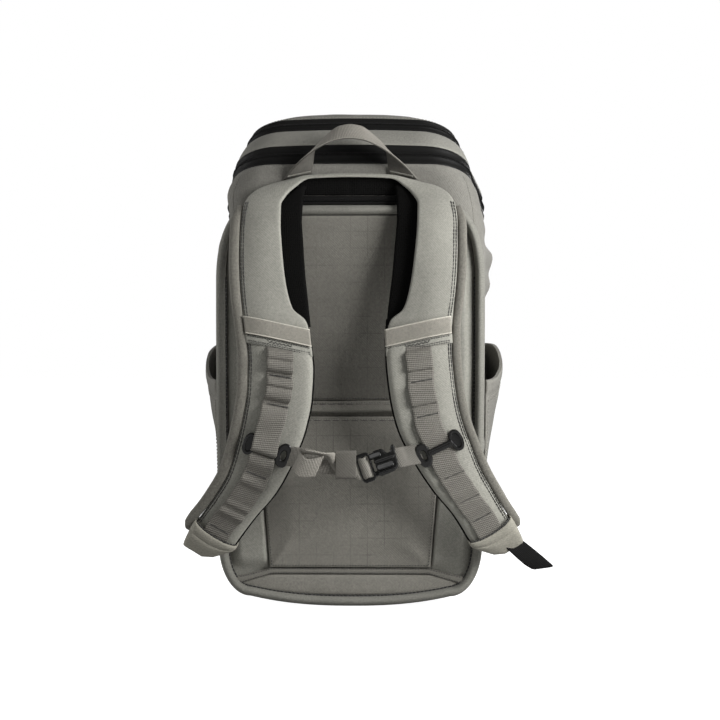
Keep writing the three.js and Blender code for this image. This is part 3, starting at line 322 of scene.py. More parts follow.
class Strip:
    """A ribbon between two edges, with its directions at each station."""

    def __init__(self, edge_a, edge_b, step=2.2, facing=None, dense=False):
        pair = np.stack([np.asarray(edge_a, float), np.asarray(edge_b, float)], axis=1)
        self.share = np.linspace(0, 1, len(pair))
        if not dense:
            fine = curve(pair, 30 * (len(pair) - 1) + 1)
            reach = run(fine.mean(axis=1))
            count = max(2, int(round(reach[-1] / step)) + 1)
            want = np.linspace(0, reach[-1], count)
            pair = lookup(want, reach, fine)
            self.share = np.interp(want, reach, np.linspace(0, 1, len(fine)))
        self.a, self.b = pair[:, 0], pair[:, 1]
        self.mid = pair.mean(axis=1)
        self.along = unit(np.gradient(self.mid, axis=0))
        self.across = unit(self.b - self.a)
        self.width = np.linalg.norm(self.b - self.a, axis=-1)
        self.out = unit(np.cross(self.along, self.across))
        self.reach = run(self.mid)
        if facing is not None:
            self.out *= np.where(self.out @ np.asarray(facing) < 0, -1, 1)[:, None]
        else:
            for i in range(1, len(self.out)):
                if self.out[i] @ self.out[i - 1] < 0:
                    self.out[i] *= -1

    def at(self, share):
        """Places and directions at shares of the ribbon's table."""
        spot = Sizes(a=lookup(share, self.share, self.a), mid=lookup(share, self.share, self.mid))
        for key in ("along", "across", "out"):
            setattr(spot, key, unit(lookup(share, self.share, getattr(self, key))))
        return spot

    def line(self, offset, rise, from_b=False):
        """A line along the ribbon, at an offset in from one edge."""
        start = self.b if from_b else self.a
        sign = -1 if from_b else 1
        return start + sign * self.across * offset + self.out * rise


FACING = (0, -1, 0.35)
WEB_SECTION = [
    (-0.5, -0.2), (-0.5, 0.2), (-0.475, 0.44), (-0.42, 0.5), (-0.2, 0.5), (0, 0.5), (0.2, 0.5), (0.42, 0.5),
    (0.475, 0.44), (0.5, 0.2), (0.5, -0.2), (0.475, -0.44), (0.2, -0.5), (-0.2, -0.5), (-0.475, -0.44),
]
BEND_WIDE = 30.0  # how far in from its outer edge a padded ribbon is bent back


def web_rings(strip, thick):
    """Rings of flat webbing with rounded edges."""
    wide, tall = strip.across * strip.width[:, None], strip.out * thick
    return beside([strip.mid + wide * share + tall * rise for share, rise in WEB_SECTION])


def pad_rings(strip, thick, depth, crown, edge, ripple=0.0, front_steps=10, bend=0.0):
    """Rings of a padded ribbon: round edges, a crowned face, a flat back, its outer edge bent back."""
    half = np.broadcast_to(np.asarray(thick, float), strip.width.shape) / 2
    edge = np.minimum(edge, strip.width * 0.25)
    flat = strip.width - 2 * edge
    arcs = np.linspace(-math.pi / 2, math.pi / 2, 7)
    columns = [(edge * (1 - math.cos(turn)), half * math.sin(turn)) for turn in arcs]
    for share in np.arange(1, front_steps) / front_steps:
        columns.append((edge + flat * share, half + crown * (1 - (2 * share - 1) ** 2)))
    columns += [(strip.width - edge * (1 - math.cos(turn)), half * math.sin(turn)) for turn in arcs[::-1]]
    columns += [(strip.width - edge - flat * share, -half) for share in (0.25, 0.5, 0.75)]
    lines = []
    for w, n in columns:
        rise = n + depth - bend * np.clip(1 - w / BEND_WIDE, 0, 1) ** 2
        lines.append(strip.line(w[:, None], rise[:, None]))
    rings = beside(lines)
    if ripple:
        front = rings[:, 4:front_steps + 9]
        lift = ripple * (grain(front, 0.035) + 0.5 * grain(front, 0.09, 7.0))
        front += strip.out[:, None] * lift[..., None]
    return rings


def cord_rings(path, out, radius, sides=8):
    """Rings of a thin round cord along a path."""
    side = unit(np.cross(np.gradient(path, axis=0), out))
    return beside([path + radius * (side * math.cos(t) + out * math.sin(t)) for t in turns(sides)])


def web_through(stations, step):
    """Flat webbing through stations: its middle and half of its width."""
    middle, half = (np.array(rows, float) for rows in zip(*stations))
    return Strip(middle - half, middle + half, step)


def web_between(stations, wide, step=1.6):
    """Flat webbing of one width through stations: its middle and the way its width runs."""
    return web_through([(at, unit(np.array(across, float)) * wide / 2) for at, across in stations], step)


# Threads

# Corners of a stitch are its two tips and four points round each shoulder
STITCH_FACES = []
for i, j in ((0, 1), (1, 2), (2, 3), (3, 0)):
    STITCH_FACES += [[0, 2 + j, 2 + i], [1, 6 + i, 6 + j], [2 + i, 2 + j, 6 + j, 6 + i]]


class Thread:
    """Gathers the stitches of one piece."""

    def __init__(self):
        self.parts = []

    def stitch(self, start, end, out, wide=0.85, tall=0.5):
        side = np.cross(unit(end - start), out) * wide / 2
        middle, top = (start + end) / 2, out * tall
        points = [start, end]
        for tip in (start, end):
            place = mix(middle, tip, 0.55)
            points += [place + side, place + top, place - side, place - top * 0.4]
        self.parts.append((np.array(points), STITCH_FACES))

    def line(self, path, out, pitch=3.5, fill=0.72, rise=0.1, wide=0.85):
        reach = run(path)
        count = int(reach[-1] / pitch)
        if count < 1:
            return
        starts = (np.arange(count) + (1 - fill) / 2) * reach[-1] / count
        ends = starts + fill * reach[-1] / count
        out = unit(np.broadcast_to(np.asarray(out, float), path.shape))
        lifted = path + out * rise
        first, second = lookup(starts, reach, lifted), lookup(ends, reach, lifted)
        facing = unit(lookup((starts + ends) / 2, reach, out))
        for a, b, n in zip(first, second, facing):
            self.stitch(a, b, n, wide)

    def bar(self, middle, across, along, out, wide, long=2.6, pitch=1.15):
        count = int(wide / pitch)
        for i in range(count):
            place = middle + across * ((i + 0.5) / count - 0.5) * wide
            slant = across * 0.25
            self.stitch(place - along * long / 2 - slant, place + along * long / 2 + slant, out, 1.0, 0.6)


# Materials

class Shader:
    """A material being wired up."""

    def __init__(self, name):
        self.material = bpy.data.materials.new(name)
        self.material.use_nodes = True
        self.tree = self.material.node_tree
        self.bsdf = self.tree.nodes["Principled BSDF"]
        self.place = self.node("ShaderNodeTexCoord").outputs

    def put(self, socket, value):
        if isinstance(value, bpy.types.NodeSocket):
            self.tree.links.new(value, socket)
        else:
            socket.default_value = value

    def node(self, kind, inputs=None, **settings):
        made = self.tree.nodes.new(kind)
        for key, value in settings.items():
            setattr(made, key, value)
        for key, value in (inputs or {}).items():
            self.put(made.inputs[key], value)
        return made

    def math(self, operation, a, b=0.0, c=0.0):
        return self.node("ShaderNodeMath", {0: a, 1: b, 2: c}, operation=operation).outputs[0]

    def between(self, value, low, high, to_low=0.0, to_high=1.0):
        inputs = {"Value": value, "From Min": low, "From Max": high, "To Min": to_low, "To Max": to_high}
        return self.node("ShaderNodeMapRange", inputs).outputs[0]

    def noise(self, scale, detail=2.0):
        inputs = {"Vector": self.place["Object"], "Scale": scale, "Detail": detail}
        return self.node("ShaderNodeTexNoise", inputs).outputs["Fac"]

    def ribs(self, place, period, direction):
        scale = 2 * math.pi / 20 / period
        inputs = {"Vector": place, "Scale": scale, "Distortion": 0.0}
        return self.node("ShaderNodeTexWave", inputs, bands_direction=direction).outputs["Fac"]

    def tinted(self, colour, share, low, high):
        inputs = {"Factor": share, 6: tone(colour, low) + (1,), 7: tone(colour, high) + (1,)}
        return self.node("ShaderNodeMix", inputs, data_type="RGBA").outputs[2]

    def bump(self, height, distance, strength=1.0, below=None):
        inputs = {"Height": height, "Distance": distance, "Strength": strength}
        if below is not None:
            inputs["Normal"] = below
        return self.node("ShaderNodeBump", inputs).outputs[0]

    def finish(self, **sockets):
        for key, value in sockets.items():
            self.put(self.bsdf.inputs[key.replace("_", " ")], value)
        return self.material

    def flat_place(self):
        """Distances in millimetres over a face that looks along Y."""
        turn, scale = (-math.pi / 2, 0, 0), (1 / MM,) * 3
        inputs = {"Vector": self.place["Object"], "Rotation": turn, "Scale": scale}
        return self.node("ShaderNodeMapping", inputs).outputs[0]


def tone(colour, share):
    return tuple(share * c for c in colour)


def cloth(name, colour, weave=1.1, from_uv=True, grid=False, fuzz=1.0):
    """Smooth woven cloth: a fine twill, soft mottling and paler worn edges."""
    s = Shader(name)
    place = s.place["UV"] if from_uv else s.flat_place()
    turned = s.node("ShaderNodeMapping", {"Vector": place, "Rotation": (0, 0, math.pi / 4)}).outputs[0]
    yarn = s.math("MULTIPLY", s.ribs(turned, weave, "X"), s.ribs(turned, weave * 1.6, "Y"))
    patches = s.noise(22.0, 4.0)
    speckle = s.noise(620.0, 3.0)
    worn = s.between(s.node("ShaderNodeNewGeometry").outputs["Pointiness"], 0.5, 0.56)
    share = s.math("MULTIPLY_ADD", patches, 0.4, s.math("MULTIPLY", speckle, fuzz))
    share = s.math("MULTIPLY_ADD", yarn, 0.16, share)
    share = s.math("MULTIPLY_ADD", worn, 0.22, s.math("SUBTRACT", share, fuzz / 2 - 0.24))
    colour_out = s.tinted(colour, share, 0.6, 1.4)
    if grid:
        colour_out = faint_grid(s, place, colour_out)
    fine = s.bump(yarn, 0.0002, 0.8)
    soft = s.bump(patches, 0.0012, 0.35, fine)
    rough = s.between(speckle, 0.3, 0.7, 0.78, 0.92)
    return s.finish(
        Base_Color=colour_out, Roughness=rough, Normal=soft, Sheen_Weight=0.05, Sheen_Roughness=0.5,
        Specular_IOR_Level=0.2,
    )


GRID_PITCH = 17.0
GRID_LINE = 0.055


def faint_grid(s, place, colour):
    """A plain square grid, printed a shade darker and rubbed thin in places."""
    split = s.node("ShaderNodeSeparateXYZ", {"Vector": place}).outputs
    lines = []
    for axis in (0, 1):
        cell = s.math("FRACT", s.math("DIVIDE", split[axis], GRID_PITCH))
        lines.append(s.math("LESS_THAN", cell, GRID_LINE))
    line = s.math("MAXIMUM", lines[0], lines[1])
    rubbed = s.between(s.noise(26.0, 3.0), 0.42, 0.6)
    share = s.math("MULTIPLY", s.math("MULTIPLY", line, rubbed), 0.3)
    dark = (0.05, 0.048, 0.042, 1)
    return s.node("ShaderNodeMix", {"Factor": share, 6: colour, 7: dark}, data_type="RGBA").outputs[2]


def webbing(name, colour, rib=1.5, shine=0.3):
    """Flat webbing: a slanted twill, lengthwise yarns and a little fuzz."""
    s = Shader(name)
    turned = s.node("ShaderNodeMapping", {"Vector": s.place["UV"], "Rotation": (0, 0, 0.2)}).outputs[0]
    twill = s.ribs(turned, rib, "Y")
    yarns = s.ribs(s.place["UV"], 1.7, "X")
    height = s.math("MULTIPLY_ADD", yarns, 0.4, twill)
    fuzz = s.noise(800.0, 3.0)
    patches = s.noise(40.0, 3.0)
    share = s.math("MULTIPLY_ADD", height, 0.42, s.math("MULTIPLY", fuzz, 0.6))
    share = s.math("MULTIPLY_ADD", patches, 0.25, s.math("SUBTRACT", share, 0.235))
    normal = s.bump(height, 0.0004, 0.8)
    return s.finish(
        Base_Color=s.tinted(colour, share, 0.3, 1.7), Roughness=s.between(fuzz, 0.3, 0.7, 0.62, 0.82),
        Normal=normal, Specular_IOR_Level=shine,
    )


def zip_tape(name):
    """Black zip tape: fine herringbone with a dull shine."""
    s = Shader(name)
    weave = s.math("MULTIPLY", s.ribs(s.place["UV"], 0.9, "X"), s.ribs(s.place["UV"], 1.3, "DIAGONAL"))
    dust = s.noise(300.0, 3.0)
    share = s.math("MULTIPLY_ADD", weave, 0.5, s.math("MULTIPLY", dust, 0.5))
    return s.finish(
        Base_Color=s.tinted(BLACK, share, 0.6, 1.7), Roughness=s.between(dust, 0.3, 0.7, 0.5, 0.68),
        Normal=s.bump(weave, 0.0002, 0.7), Specular_IOR_Level=0.14,
    )


def spacer_mesh(name):
    """Black spacer mesh with small holes."""
    s = Shader(name)
    cells = s.node("ShaderNodeTexVoronoi", {"Vector": s.place["UV"], "Scale": 0.55, "Randomness": 0.25})
    holes = s.between(cells.outputs["Distance"], 0.15, 0.55)
    fuzz = s.noise(900.0, 2.0)
    share = s.math("MULTIPLY_ADD", holes, 0.7, s.math("MULTIPLY", fuzz, 0.3))
    return s.finish(
        Base_Color=s.tinted((0.0036, 0.0035, 0.0033), share, 0.4, 1.5), Roughness=0.9,
        Normal=s.bump(holes, 0.0004, 0.9), Specular_IOR_Level=0.06,
    )


def plastic(name):
    """Moulded black nylon with a fine spark texture and rubbed edges."""
    s = Shader(name)
    spark = s.noise(1600.0, 2.0)
    smear = s.noise(120.0, 3.0)
    worn = s.between(s.node("ShaderNodeNewGeometry").outputs["Pointiness"], 0.52, 0.6)
    share = s.math("MULTIPLY_ADD", worn, 0.5, s.math("MULTIPLY", smear, 0.5))
    return s.finish(
        Base_Color=s.tinted(BLACK, share, 0.7, 2.2), Roughness=s.between(smear, 0.3, 0.7, 0.16, 0.28),
        Normal=s.bump(spark, 0.00003, 0.2), Specular_IOR_Level=0.5,
    )


def thread(name, colour):
    s = Shader(name)
    twist = s.noise(2500.0, 1.0)
    return s.finish(
        Base_Color=s.tinted(colour, twist, 0.7, 1.3), Roughness=0.7, Sheen_Weight=0.15,
        Normal=s.bump(twist, 0.0001, 0.5),
    )


PACK = cloth("pack_cloth", (0.25, 0.246, 0.216))
PANEL = cloth("panel_cloth", PANEL_GREY)
TAPE_CLOTH = cloth("tape_cloth", tone(PANEL_GREY, 0.8), weave=1.7)
PRINTED = {
    # The upper pad's print is a darker copy of the lower one's: painted shade for the shadow the yoke arms
    # cast on the upper pad.
    "upper": cloth("panel_print_upper_painted_shade", tone(PANEL_GREY, 0.74), from_uv=False, grid=True),
    "lower": cloth("panel_print_lower", PANEL_GREY, from_uv=False, grid=True),
}
WEBBING = webbing("webbing_grey", WEB_GREY)
# Lighter and darker copies of the grey webbing: painted light on lit faces, painted shade on shaded faces.
PAINTED_LIGHT_WEB = webbing("webbing_painted_light", tone(WEB_GREY, 1.35))
PAINTED_SHADE_WEB = webbing("webbing_painted_shade", tone(WEB_GREY, 0.48))
LADDER_WEB = webbing("webbing_ladder", tone(WEB_GREY, 0.82), rib=2.0)
# Darker copy of the grey webbing for the right sternum web: painted shade.
PAINTED_SHADE_STERNUM_WEB = webbing("webbing_sternum_painted_shade", tone(WEB_GREY, 0.62))
KEEPER = cloth("keeper_web", tone(WEB_GREY, 0.52), weave=1.3, from_uv=False)
BLACK_WEB = webbing("webbing_black", (0.005, 0.0049, 0.0047), shine=0.1)
BODY = cloth("body_cloth", (0.163, 0.158, 0.141))
RIM_CLOTH = cloth("rim_cloth", (0.17, 0.167, 0.147))
LID = cloth("lid_cloth", (0.195, 0.191, 0.169))
FUZZY = cloth("binding_cloth", (0.136, 0.13, 0.112), fuzz=1.7)
BAND = cloth("band_cloth", (0.232, 0.22, 0.19), weave=0.8)
CAP = cloth("cap_cloth", (0.24, 0.23, 0.193))
PALE = cloth("pale_cord", (0.4, 0.38, 0.33), weave=0.8)
ZIP = zip_tape("zip_tape")
MESH = spacer_mesh("spacer_mesh")
PLASTIC = plastic("black_nylon")
THREAD = thread("thread_grey", (0.24, 0.232, 0.2))
DARK_THREAD_AND_SHADE = thread("thread_dark_and_painted_shade", (0.022, 0.021, 0.019))

grey_thread = Thread()
# Gathers real dark stitches and the continuous dark lines laid as painted shade and shadow.
dark_stitches_and_shade = Thread()


# Pack shell

STEPS = (14, 10, 28, 16, 14)  # ring points on the back flat, back corner, side, front corner and front flat
HALF_RING = sum(STEPS)
RING = 2 * HALF_RING
HINGE_AT = sum(STEPS[:4])
CORNER_SEAM = sum(STEPS[:3]) + STEPS[3] // 2
BACK_STITCH = STEPS[0] + 5


def half_plan(row, inset):
    """Half of a section's plan, from the middle of the back round by +X to the front."""
    half_back, half_front, back, front, back_corner, front_corner = row[2:]
    half_back, half_front, back, front = half_back - inset, half_front - inset, back + inset, front - inset
    back_corner, front_corner = max(back_corner - inset, 4), max(front_corner - inset, 4)
    ahead = [np.arange(count) / count for count in STEPS[:4]]
    ahead.append(np.arange(STEPS[4] + 1) / STEPS[4])
    back_turn, front_turn = math.pi / 2 * ahead[1], math.pi / 2 * ahead[3]
    x = [
        (half_back - back_corner) * ahead[0],
        half_back - back_corner + back_corner * np.sin(back_turn),
        mix(half_back, half_front, ahead[2]),
        half_front - front_corner + front_corner * np.cos(front_turn),
        (half_front - front_corner) * (1 - ahead[4]),
    ]
    y = [
        np.full(STEPS[0], back),
        back + back_corner - back_corner * np.cos(back_turn),
        mix(back + back_corner, front - front_corner, ahead[2]),
        front - front_corner + front_corner * np.sin(front_turn),
        np.full(STEPS[4] + 1, front),
    ]
    return np.concatenate(x), np.concatenate(y)


def fold_rise(side, y, z):
    """How far the soft folds of a side wall stand out."""
    rise = np.zeros_like(y)
    for z0, y0, left, right, tall, deep in SIDE_FOLDS:
        near = np.exp(-(((z - z0) / tall) ** 2) - ((y - y0) / deep) ** 2)
        rise = rise + (left if side < 0 else right) * near
    return rise


def skin_ring(row, inset=0.0, lift=0.0):
    """One ring of the pack's skin, from the middle of the back round by +X."""
    x, y = half_plan(row, inset)
    z = row[0] - row[1] * (y - row[4]) + lift
    z = z + LID_ARCH * smooth((row[0] - 430) / 30) * (0.55 - (x / row[2]) ** 2)
    crown = FRONT_CROWN * np.clip(y / row[5], 0, None) ** 3 * np.clip(1 - (x / row[3]) ** 2, 0, None)
    crown = crown * smooth((row[0] - 2.5) / 7.5)
    share = smooth((x / row[3] - 0.8) / 0.2)
    right, left = (xyz(side * (x + share * fold_rise(side, y, z)), y + crown, z) for side in (1, -1))
    return np.concatenate([right, left[1:-1][::-1]])


def wrinkles(points):
    """Rise of the cloth's soft creases: strongest on the sides and under the lid."""
    x, y, z = points[..., 0], points[..., 1], points[..., 2]
    low = smooth((z - 12) / 40)
    near_zip = smooth((z - 300) / 110)
    rear = smooth((y - BACK - 1.0) / 6)
    flank = smooth((np.abs(x) - 95) / 30)
    taut = 1 - 0.85 * flank * smooth((z + 0.38 * (y - BACK) - 392) / 25)
    amount = low * (0.35 + 0.9 * near_zip + 0.7 * flank) * (0.35 + 0.65 * rear) * taut
    waves = grain(points, (0.016, 0.016, 0.034), 3.0)
    creases = 1 - np.abs(grain(points, (0.011, 0.013, 0.03), 11.0)) * 2.4
    fine = grain(points, (0.035, 0.035, 0.07), 5.0)
    shape = 1.5 * waves + 1.2 * np.clip(creases, -0.4, 1) - 0.5 + 0.6 * fine
    hem = smooth((points[-1:, :, 2] - z) / 14)
    return amount * shape * hem


BASE_LIFT = 8.5
RING_STEP = 3.6
INNER_EVERY = 7
SEAM_SPAN = (12, 436)
BACK_STITCH_SPAN = (330, 438)


def pack_body():
    fine = curve(SECTIONS, 2000)
    reach = run(fine[:, [0, 2]])
    rows = lookup(np.linspace(0, reach[-1], int(reach[-1] / RING_STEP) + 1), reach, fine)
    outer = np.array([skin_ring(row) for row in rows])
    around = np.roll(outer, -1, axis=1) - np.roll(outer, 1, axis=1)
    normal = unit(np.cross(around, np.gradient(outer, axis=0)))
    outer = outer + normal * wrinkles(outer)[..., None]
    low = smooth((16 - outer[..., 2]) / 16)
    outer[..., 2] += BASE_LIFT * np.clip(np.abs(outer[..., 0]) / 100, 0, 1.1) ** 2.4 * low
    inner = [skin_ring(row, WALL + 2) for row in rows[::-INNER_EVERY][1:-1]]
    rings = [*outer, skin_ring(rows[-1], WALL), *inner, skin_ring(SECTIONS[0], WALL - 2, WALL)]
    loft("pack_body", rings, BODY, ["body_lower", "body_upper"])

    def column_lines(column, span):
        for number in (column, RING - column):
            part = (rows[:, 0] > span[0]) & (rows[:, 0] < span[1])
            yield number, outer[part, number], normal[part, number]

    for column, path, facing in column_lines(CORNER_SEAM, SEAM_SPAN):
        seam_welt(f"corner_seam_{column}", path, facing)
    for _, path, facing in column_lines(BACK_STITCH, BACK_STITCH_SPAN):
        grey_thread.line(path + facing * 0.15, facing, pitch=2.6)


def seam_welt(name, path, out, wide=5.0, thick=1.1):
    """A flat welt over a seam, stitched along both edges."""
    across = unit(np.cross(unit(np.gradient(path, axis=0)), out))
    lifted, half = path + out * 0.4, across * wide / 2
    strip = Strip(lifted - half, lifted + half, dense=True)
    strip.out = out
    loft(name, web_rings(strip, thick), BODY)
    for sign in (-1, 1):
        grey_thread.line(path + across * sign * wide * 0.3 + out * 0.95, out)


# Lid

ZIP_PROFILE = [
    (0, 0), (0.03, 1.0), (0.1, 1.3), (0.16, 1.1), (0.19, 0.3), (0.27, 0.5), (0.34, 0.3), (0.38, 0.7),
    (0.42, 1.5), (0.5, 1.9), (0.58, 1.5), (0.62, 0.7), (0.66, 0.3), (0.73, 0.5), (0.81, 0.3), (0.84, 1.1),
    (0.9, 1.3), (0.97, 1.0), (1, 0),
]
TAPE_PROFILE = [(share, 0.72 * rise) for share, rise in ZIP_PROFILE]
TUCK = (-0.8, 0.4)  # how far a zip tape runs under the cloth beside it, and how deep
CLOTH_PROFILE = [(0, 0), (0.06, 0.7), (0.2, 1.1), (0.4, 1.5), (0.6, 1.5), (0.8, 1.1), (0.94, 0.7), (1, 0)]


def band_edges(low, high, index, gap=GAP, sunk=0.0):
    """Edges of a band between two sections at ring points, outside and inside, and the way out."""
    low_out, low_in = skin_ring(low, sunk, gap), skin_ring(low, WALL, gap)
    high_out, high_in = skin_ring(high, sunk, -gap), skin_ring(high, WALL, -gap)
    out = unit(low_out - low_in + high_out - high_in)
    return (edge[index % RING] for edge in (low_out, high_out, low_in, high_in, out))


def band_rings(low, high, index, profile, gap=GAP, sunk=0.0):
    low_out, high_out, low_in, high_in, out = band_edges(low, high, index, gap, sunk)
    lines = [mix(low_out, high_out, share) + out * rise for share, rise in profile]
    return beside(lines + [high_in, low_in])


# A zip's tooth across the line: share of the half width, rise and half length
TOOTH = [(-1, 0.0, 0.3), (-0.55, 0.75, 0.5), (0.55, 0.75, 0.5), (1, 0.0, 0.3)]
TOOTH_FACES = [[0, 1, 3, 2], [2, 3, 5, 4], [4, 5, 7, 6], [0, 2, 4, 6], [1, 7, 5, 3], [0, 6, 7, 1]]
TOOTH_LEAN = 0.35
coil_parts = []


def coil(path, out, up, wide=3.2, pitch=1.7):
    """Teeth of a zip: small rounded blocks in a row, each leaning across the line."""
    reach = run(path)
    count = int(reach[-1] / pitch)
    places = (np.arange(count) + 0.5) * reach[-1] / count
    middle = lookup(places, reach, path)
    ways = (np.broadcast_to(np.asarray(way, float), path.shape) for way in (out, up))
    facing, rise = (unit(lookup(places, reach, way)) for way in ways)
    along = unit(np.cross(rise, facing))
    for i in range(count):
        lean = along[i] * TOOTH_LEAN * (1 if i % 2 else -1)
        points = []
        for w, n, half in TOOTH:
            centre = middle[i] + rise[i] * w * wide / 2 + facing[i] * n + lean * w
            points += [centre - along[i] * half, centre + along[i] * half]
        coil_parts.append((np.array(points), TOOTH_FACES))


def lid():
    around = np.arange(-HINGE_AT, HINGE_AT + 1)
    front = np.arange(HINGE_AT, RING - HINGE_AT + 1)
    for name, hinge, low, high in (
        ("zip_main", "lid_hinge", MAIN_ZIP_LOW, MAIN_ZIP_TOP),
        ("zip_lid", "top_hinge", LID_ZIP_LOW, LID_ZIP_TOP),
    ):
        tape, cloth_band = (
            band_rings(low, high, index, profile, *TUCK)
            for index, profile in ((around, TAPE_PROFILE), (front, CLOTH_PROFILE))
        )
        loft(name + "_tape", tape, ZIP, [name])
        loft(hinge + "_cloth", cloth_band, LID, [hinge])
        low_out, high_out, _, _, out = band_edges(low, high, around)
        coil((low_out + high_out) / 2 + out * 0.9, out, high_out - low_out)
    wall = band_rings(MAIN_ZIP_TOP, LID_ZIP_LOW, np.arange(RING), CLOTH_PROFILE)
    middle = wall[:, 2:6]
    outward = unit(wall[:, 3] - wall[:, 3].mean(axis=0))[:, None]
    wall[:, 2:6] += outward * (0.8 * grain(middle, 0.03, 2.0) + 0.4 * grain(middle, 0.07, 9.0))[..., None]
    loft("lid_wall_cloth", wall, LID, ["lid_wall"], loop=True)
    lid_dome()


def lid_dome():
    shares = [1, 0.985, 0.96, 0.92, 0.86, 0.78, 0.68, 0.56, 0.43, 0.3, 0.17, 0.06]
    middle_y = (LID_ZIP_TOP[4] + LID_ZIP_TOP[5]) / 2
    middle = np.array([0, middle_y, LID_ZIP_TOP[0] - LID_ZIP_TOP[1] * (middle_y - LID_ZIP_TOP[4])])

    def dome(inset, ripple):
        edge = skin_ring(LID_ZIP_TOP, inset, GAP)
        rings = np.array([mix(middle, edge, share) for share in shares])
        rise = np.array([LID_CROWN * (1 - share**2.6) - (inset if share < 1 else 0) for share in shares])
        soft = smooth((1 - np.array(shares)) / 0.2)[:, None]
        rings[..., 2] += rise[:, None]
        rings[..., 2] += ripple * soft * (grain(rings, 0.022, 4.0) + 0.5 * grain(rings, 0.05, 8.0))
        return rings

    outer, under = dome(0, 0.9), dome(WALL, 0)
    rings = np.concatenate([outer[::-1], under[:1], under[1::2]])
    loft("lid_top_cloth", rings, LID, ["lid_top"])
    hem = np.concatenate([outer[2], outer[2][:1]])
    grey_thread.line(hem + (0, 0, 0.1), UP)


# Harness panel

RIM = Sizes(top=401, half=134.8, arch_x=99, arch_z=325, side_low=62, half_low=132, foot_x=100, foot_rise=9.8)


def rim_loop(inset):
    """Outline of the rim in x and z, moved in by inset, from the top middle round by +X."""
    r = RIM
    arch = math.pi / 2 * np.arange(29) / 28
    down = np.arange(1, 60) / 60
    foot = math.pi / 2 * np.arange(21) / 20
    base = r.foot_x * (1 - np.arange(1, 25) / 24)
    x = [
        r.arch_x * np.arange(24) / 24,
        r.arch_x + (r.half - r.arch_x - inset) * np.sin(arch) ** 0.92,
        mix(r.half, r.half_low, down**2) - inset,
        r.foot_x + (r.half_low - r.foot_x - inset) * np.cos(foot),
        base,
    ]
    z = [
        np.full(24, r.top - inset),
        r.arch_z + (r.top - r.arch_z - inset) * np.abs(np.cos(arch)) ** 0.92,
        mix(r.arch_z, r.side_low, down),
        r.side_low - (r.side_low - r.foot_rise - inset) * np.sin(foot),
        r.foot_rise * (base / r.foot_x) ** 2.4 + inset,
    ]
    half = np.stack([np.concatenate(x), np.concatenate(z)], axis=-1)
    return np.concatenate([half, half[1:-1][::-1] * (-1, 1)])


def rim_ring(inset, y):
    x, z = rim_loop(inset).T
    return xyz(x, y, z)


RIM_SECTION = [
    (1, -85.3), (0.3, -88), (0.1, -91), (0.6, -94), (1.6, -96.4), (3.2, -98.3), (5, -99), (6.8, -98.4),
    (8.4, -96.6), (9.5, -94), (10, -91), (10.1, -88), (10, -85.3),
]

# Dark line inside the rim, overlapping dark stitches that stand for the seam's thread and painted shade in
# its groove: inset, depth and the height that it reaches
RIM_SEAM_AND_SHADE = (10.5, -93.0, 330.0)


def rim_and_panel():
    rings = np.array([rim_ring(inset, y) for inset, y in RIM_SECTION])
    soft = (rings[..., 1] < -87)[..., None]
    rings = rings + soft * (0.0, 0.7, 0.0) * grain(rings, 0.03, 1.0)[..., None]
    rim = loft("rim_cloth", rings, RIM_CLOTH, ["back_rim"], loop=True)
    loop = rim_ring(*RIM_SEAM_AND_SHADE[:2])
    low = np.nonzero(loop[:, 2] < RIM_SEAM_AND_SHADE[2])[0]
    # Continuous dark line: seam thread and painted shade of the groove.
    dark_stitches_and_shade.line(loop[low[0]:low[-1] + 1], TO_VIEWER, pitch=4.0, fill=1.1, wide=1.5)
    harness_panel()


BOLSTER_RISE = 7.6
PANEL_COLUMNS = 150


def pad_edge(z):
    """Half width of the back pads at a height."""
    heights = (0, 42.5, 186, 205, 388, 410)
    halves = (70, 80.5, 92.5, 94, 84, 80)
    return np.interp(z, heights, halves)


def harness_panel():
    """Panel behind the pads, swelling into a soft bolster between each pad and the rim."""
    loop = rim_loop(10.4)
    right = loop[: len(loop) // 2 + 1]
    z = np.linspace(right[:, 1].min() + 0.6, right[:, 1].max() - 0.2, 130)
    order = np.argsort(right[:, 1])
    half = np.interp(z, right[order, 1], right[order, 0])
    share = np.sin(np.linspace(-1, 1, PANEL_COLUMNS) * math.pi / 2)
    x = half[:, None] * share
    edge = np.minimum(pad_edge(z), half - 4)[:, None]
    place = np.clip((np.abs(x) - edge) / np.maximum(half[:, None] - edge, 1), 0, 1)
    tall = (smooth((z - 34) / 16) * smooth((392 - z) / 14))[:, None]
    rise = BOLSTER_RISE * smooth(place / 0.09) ** 0.6 * smooth((1 - place) / 0.35) ** 0.6 * tall
    y = -88.6 - rise
    front = xyz(x, y, z[:, None])
    front[..., 1] += smooth(rise / 3) * 0.9 * grain(front, 0.02, 13.0)
    rear = xyz(x, -85.3, z[:, None])[:, ::-1]
    rings = np.concatenate([front, rear], axis=1)
    loft("panel_cloth", rings, PACK, ["back_panel"], strip_caps=True)


def pad_grid(z_low, z_high, half_low, half_high):
    """Rings of a flat pad with crisp edges: a fine grid in front, a flat back."""
    near = np.array([0, 0.3, 0.8, 1.8, 3.5])
    z = np.concatenate([z_low + near, np.linspace(z_low + 7, z_high - 7, 40), (z_high - near)[::-1]])
    half = mix(half_low, half_high, (z - z_low) / (z_high - z_low))
    inner = np.linspace(-1, 1, 44)[:, None] * (half - 7)
    x = np.concatenate([-half + near[:, None], inner, (half - near[:, None])[::-1]]).T
    half, z = half[:, None], z[:, None]
    edge = np.minimum(half - np.abs(x), np.minimum(z - z_low, z_high - z))
    share = np.interp(edge, *zip(*PAD_STEPS))
    front, rear = xyz(x, PANEL_FACE - PAD_RISE * share, z), xyz(x, PANEL_FACE, z)[:, ::-1]
    return np.concatenate([front, rear], axis=1)


PINNED_DEEP = 0.0064  # metres in from the back of a pad that stay put
CLOTH_SETTINGS = dict(
    quality=5, mass=0.3, tension_stiffness=12, compression_stiffness=12, bending_stiffness=2,
    use_pressure=True, vertex_group_mass="sewn",
)


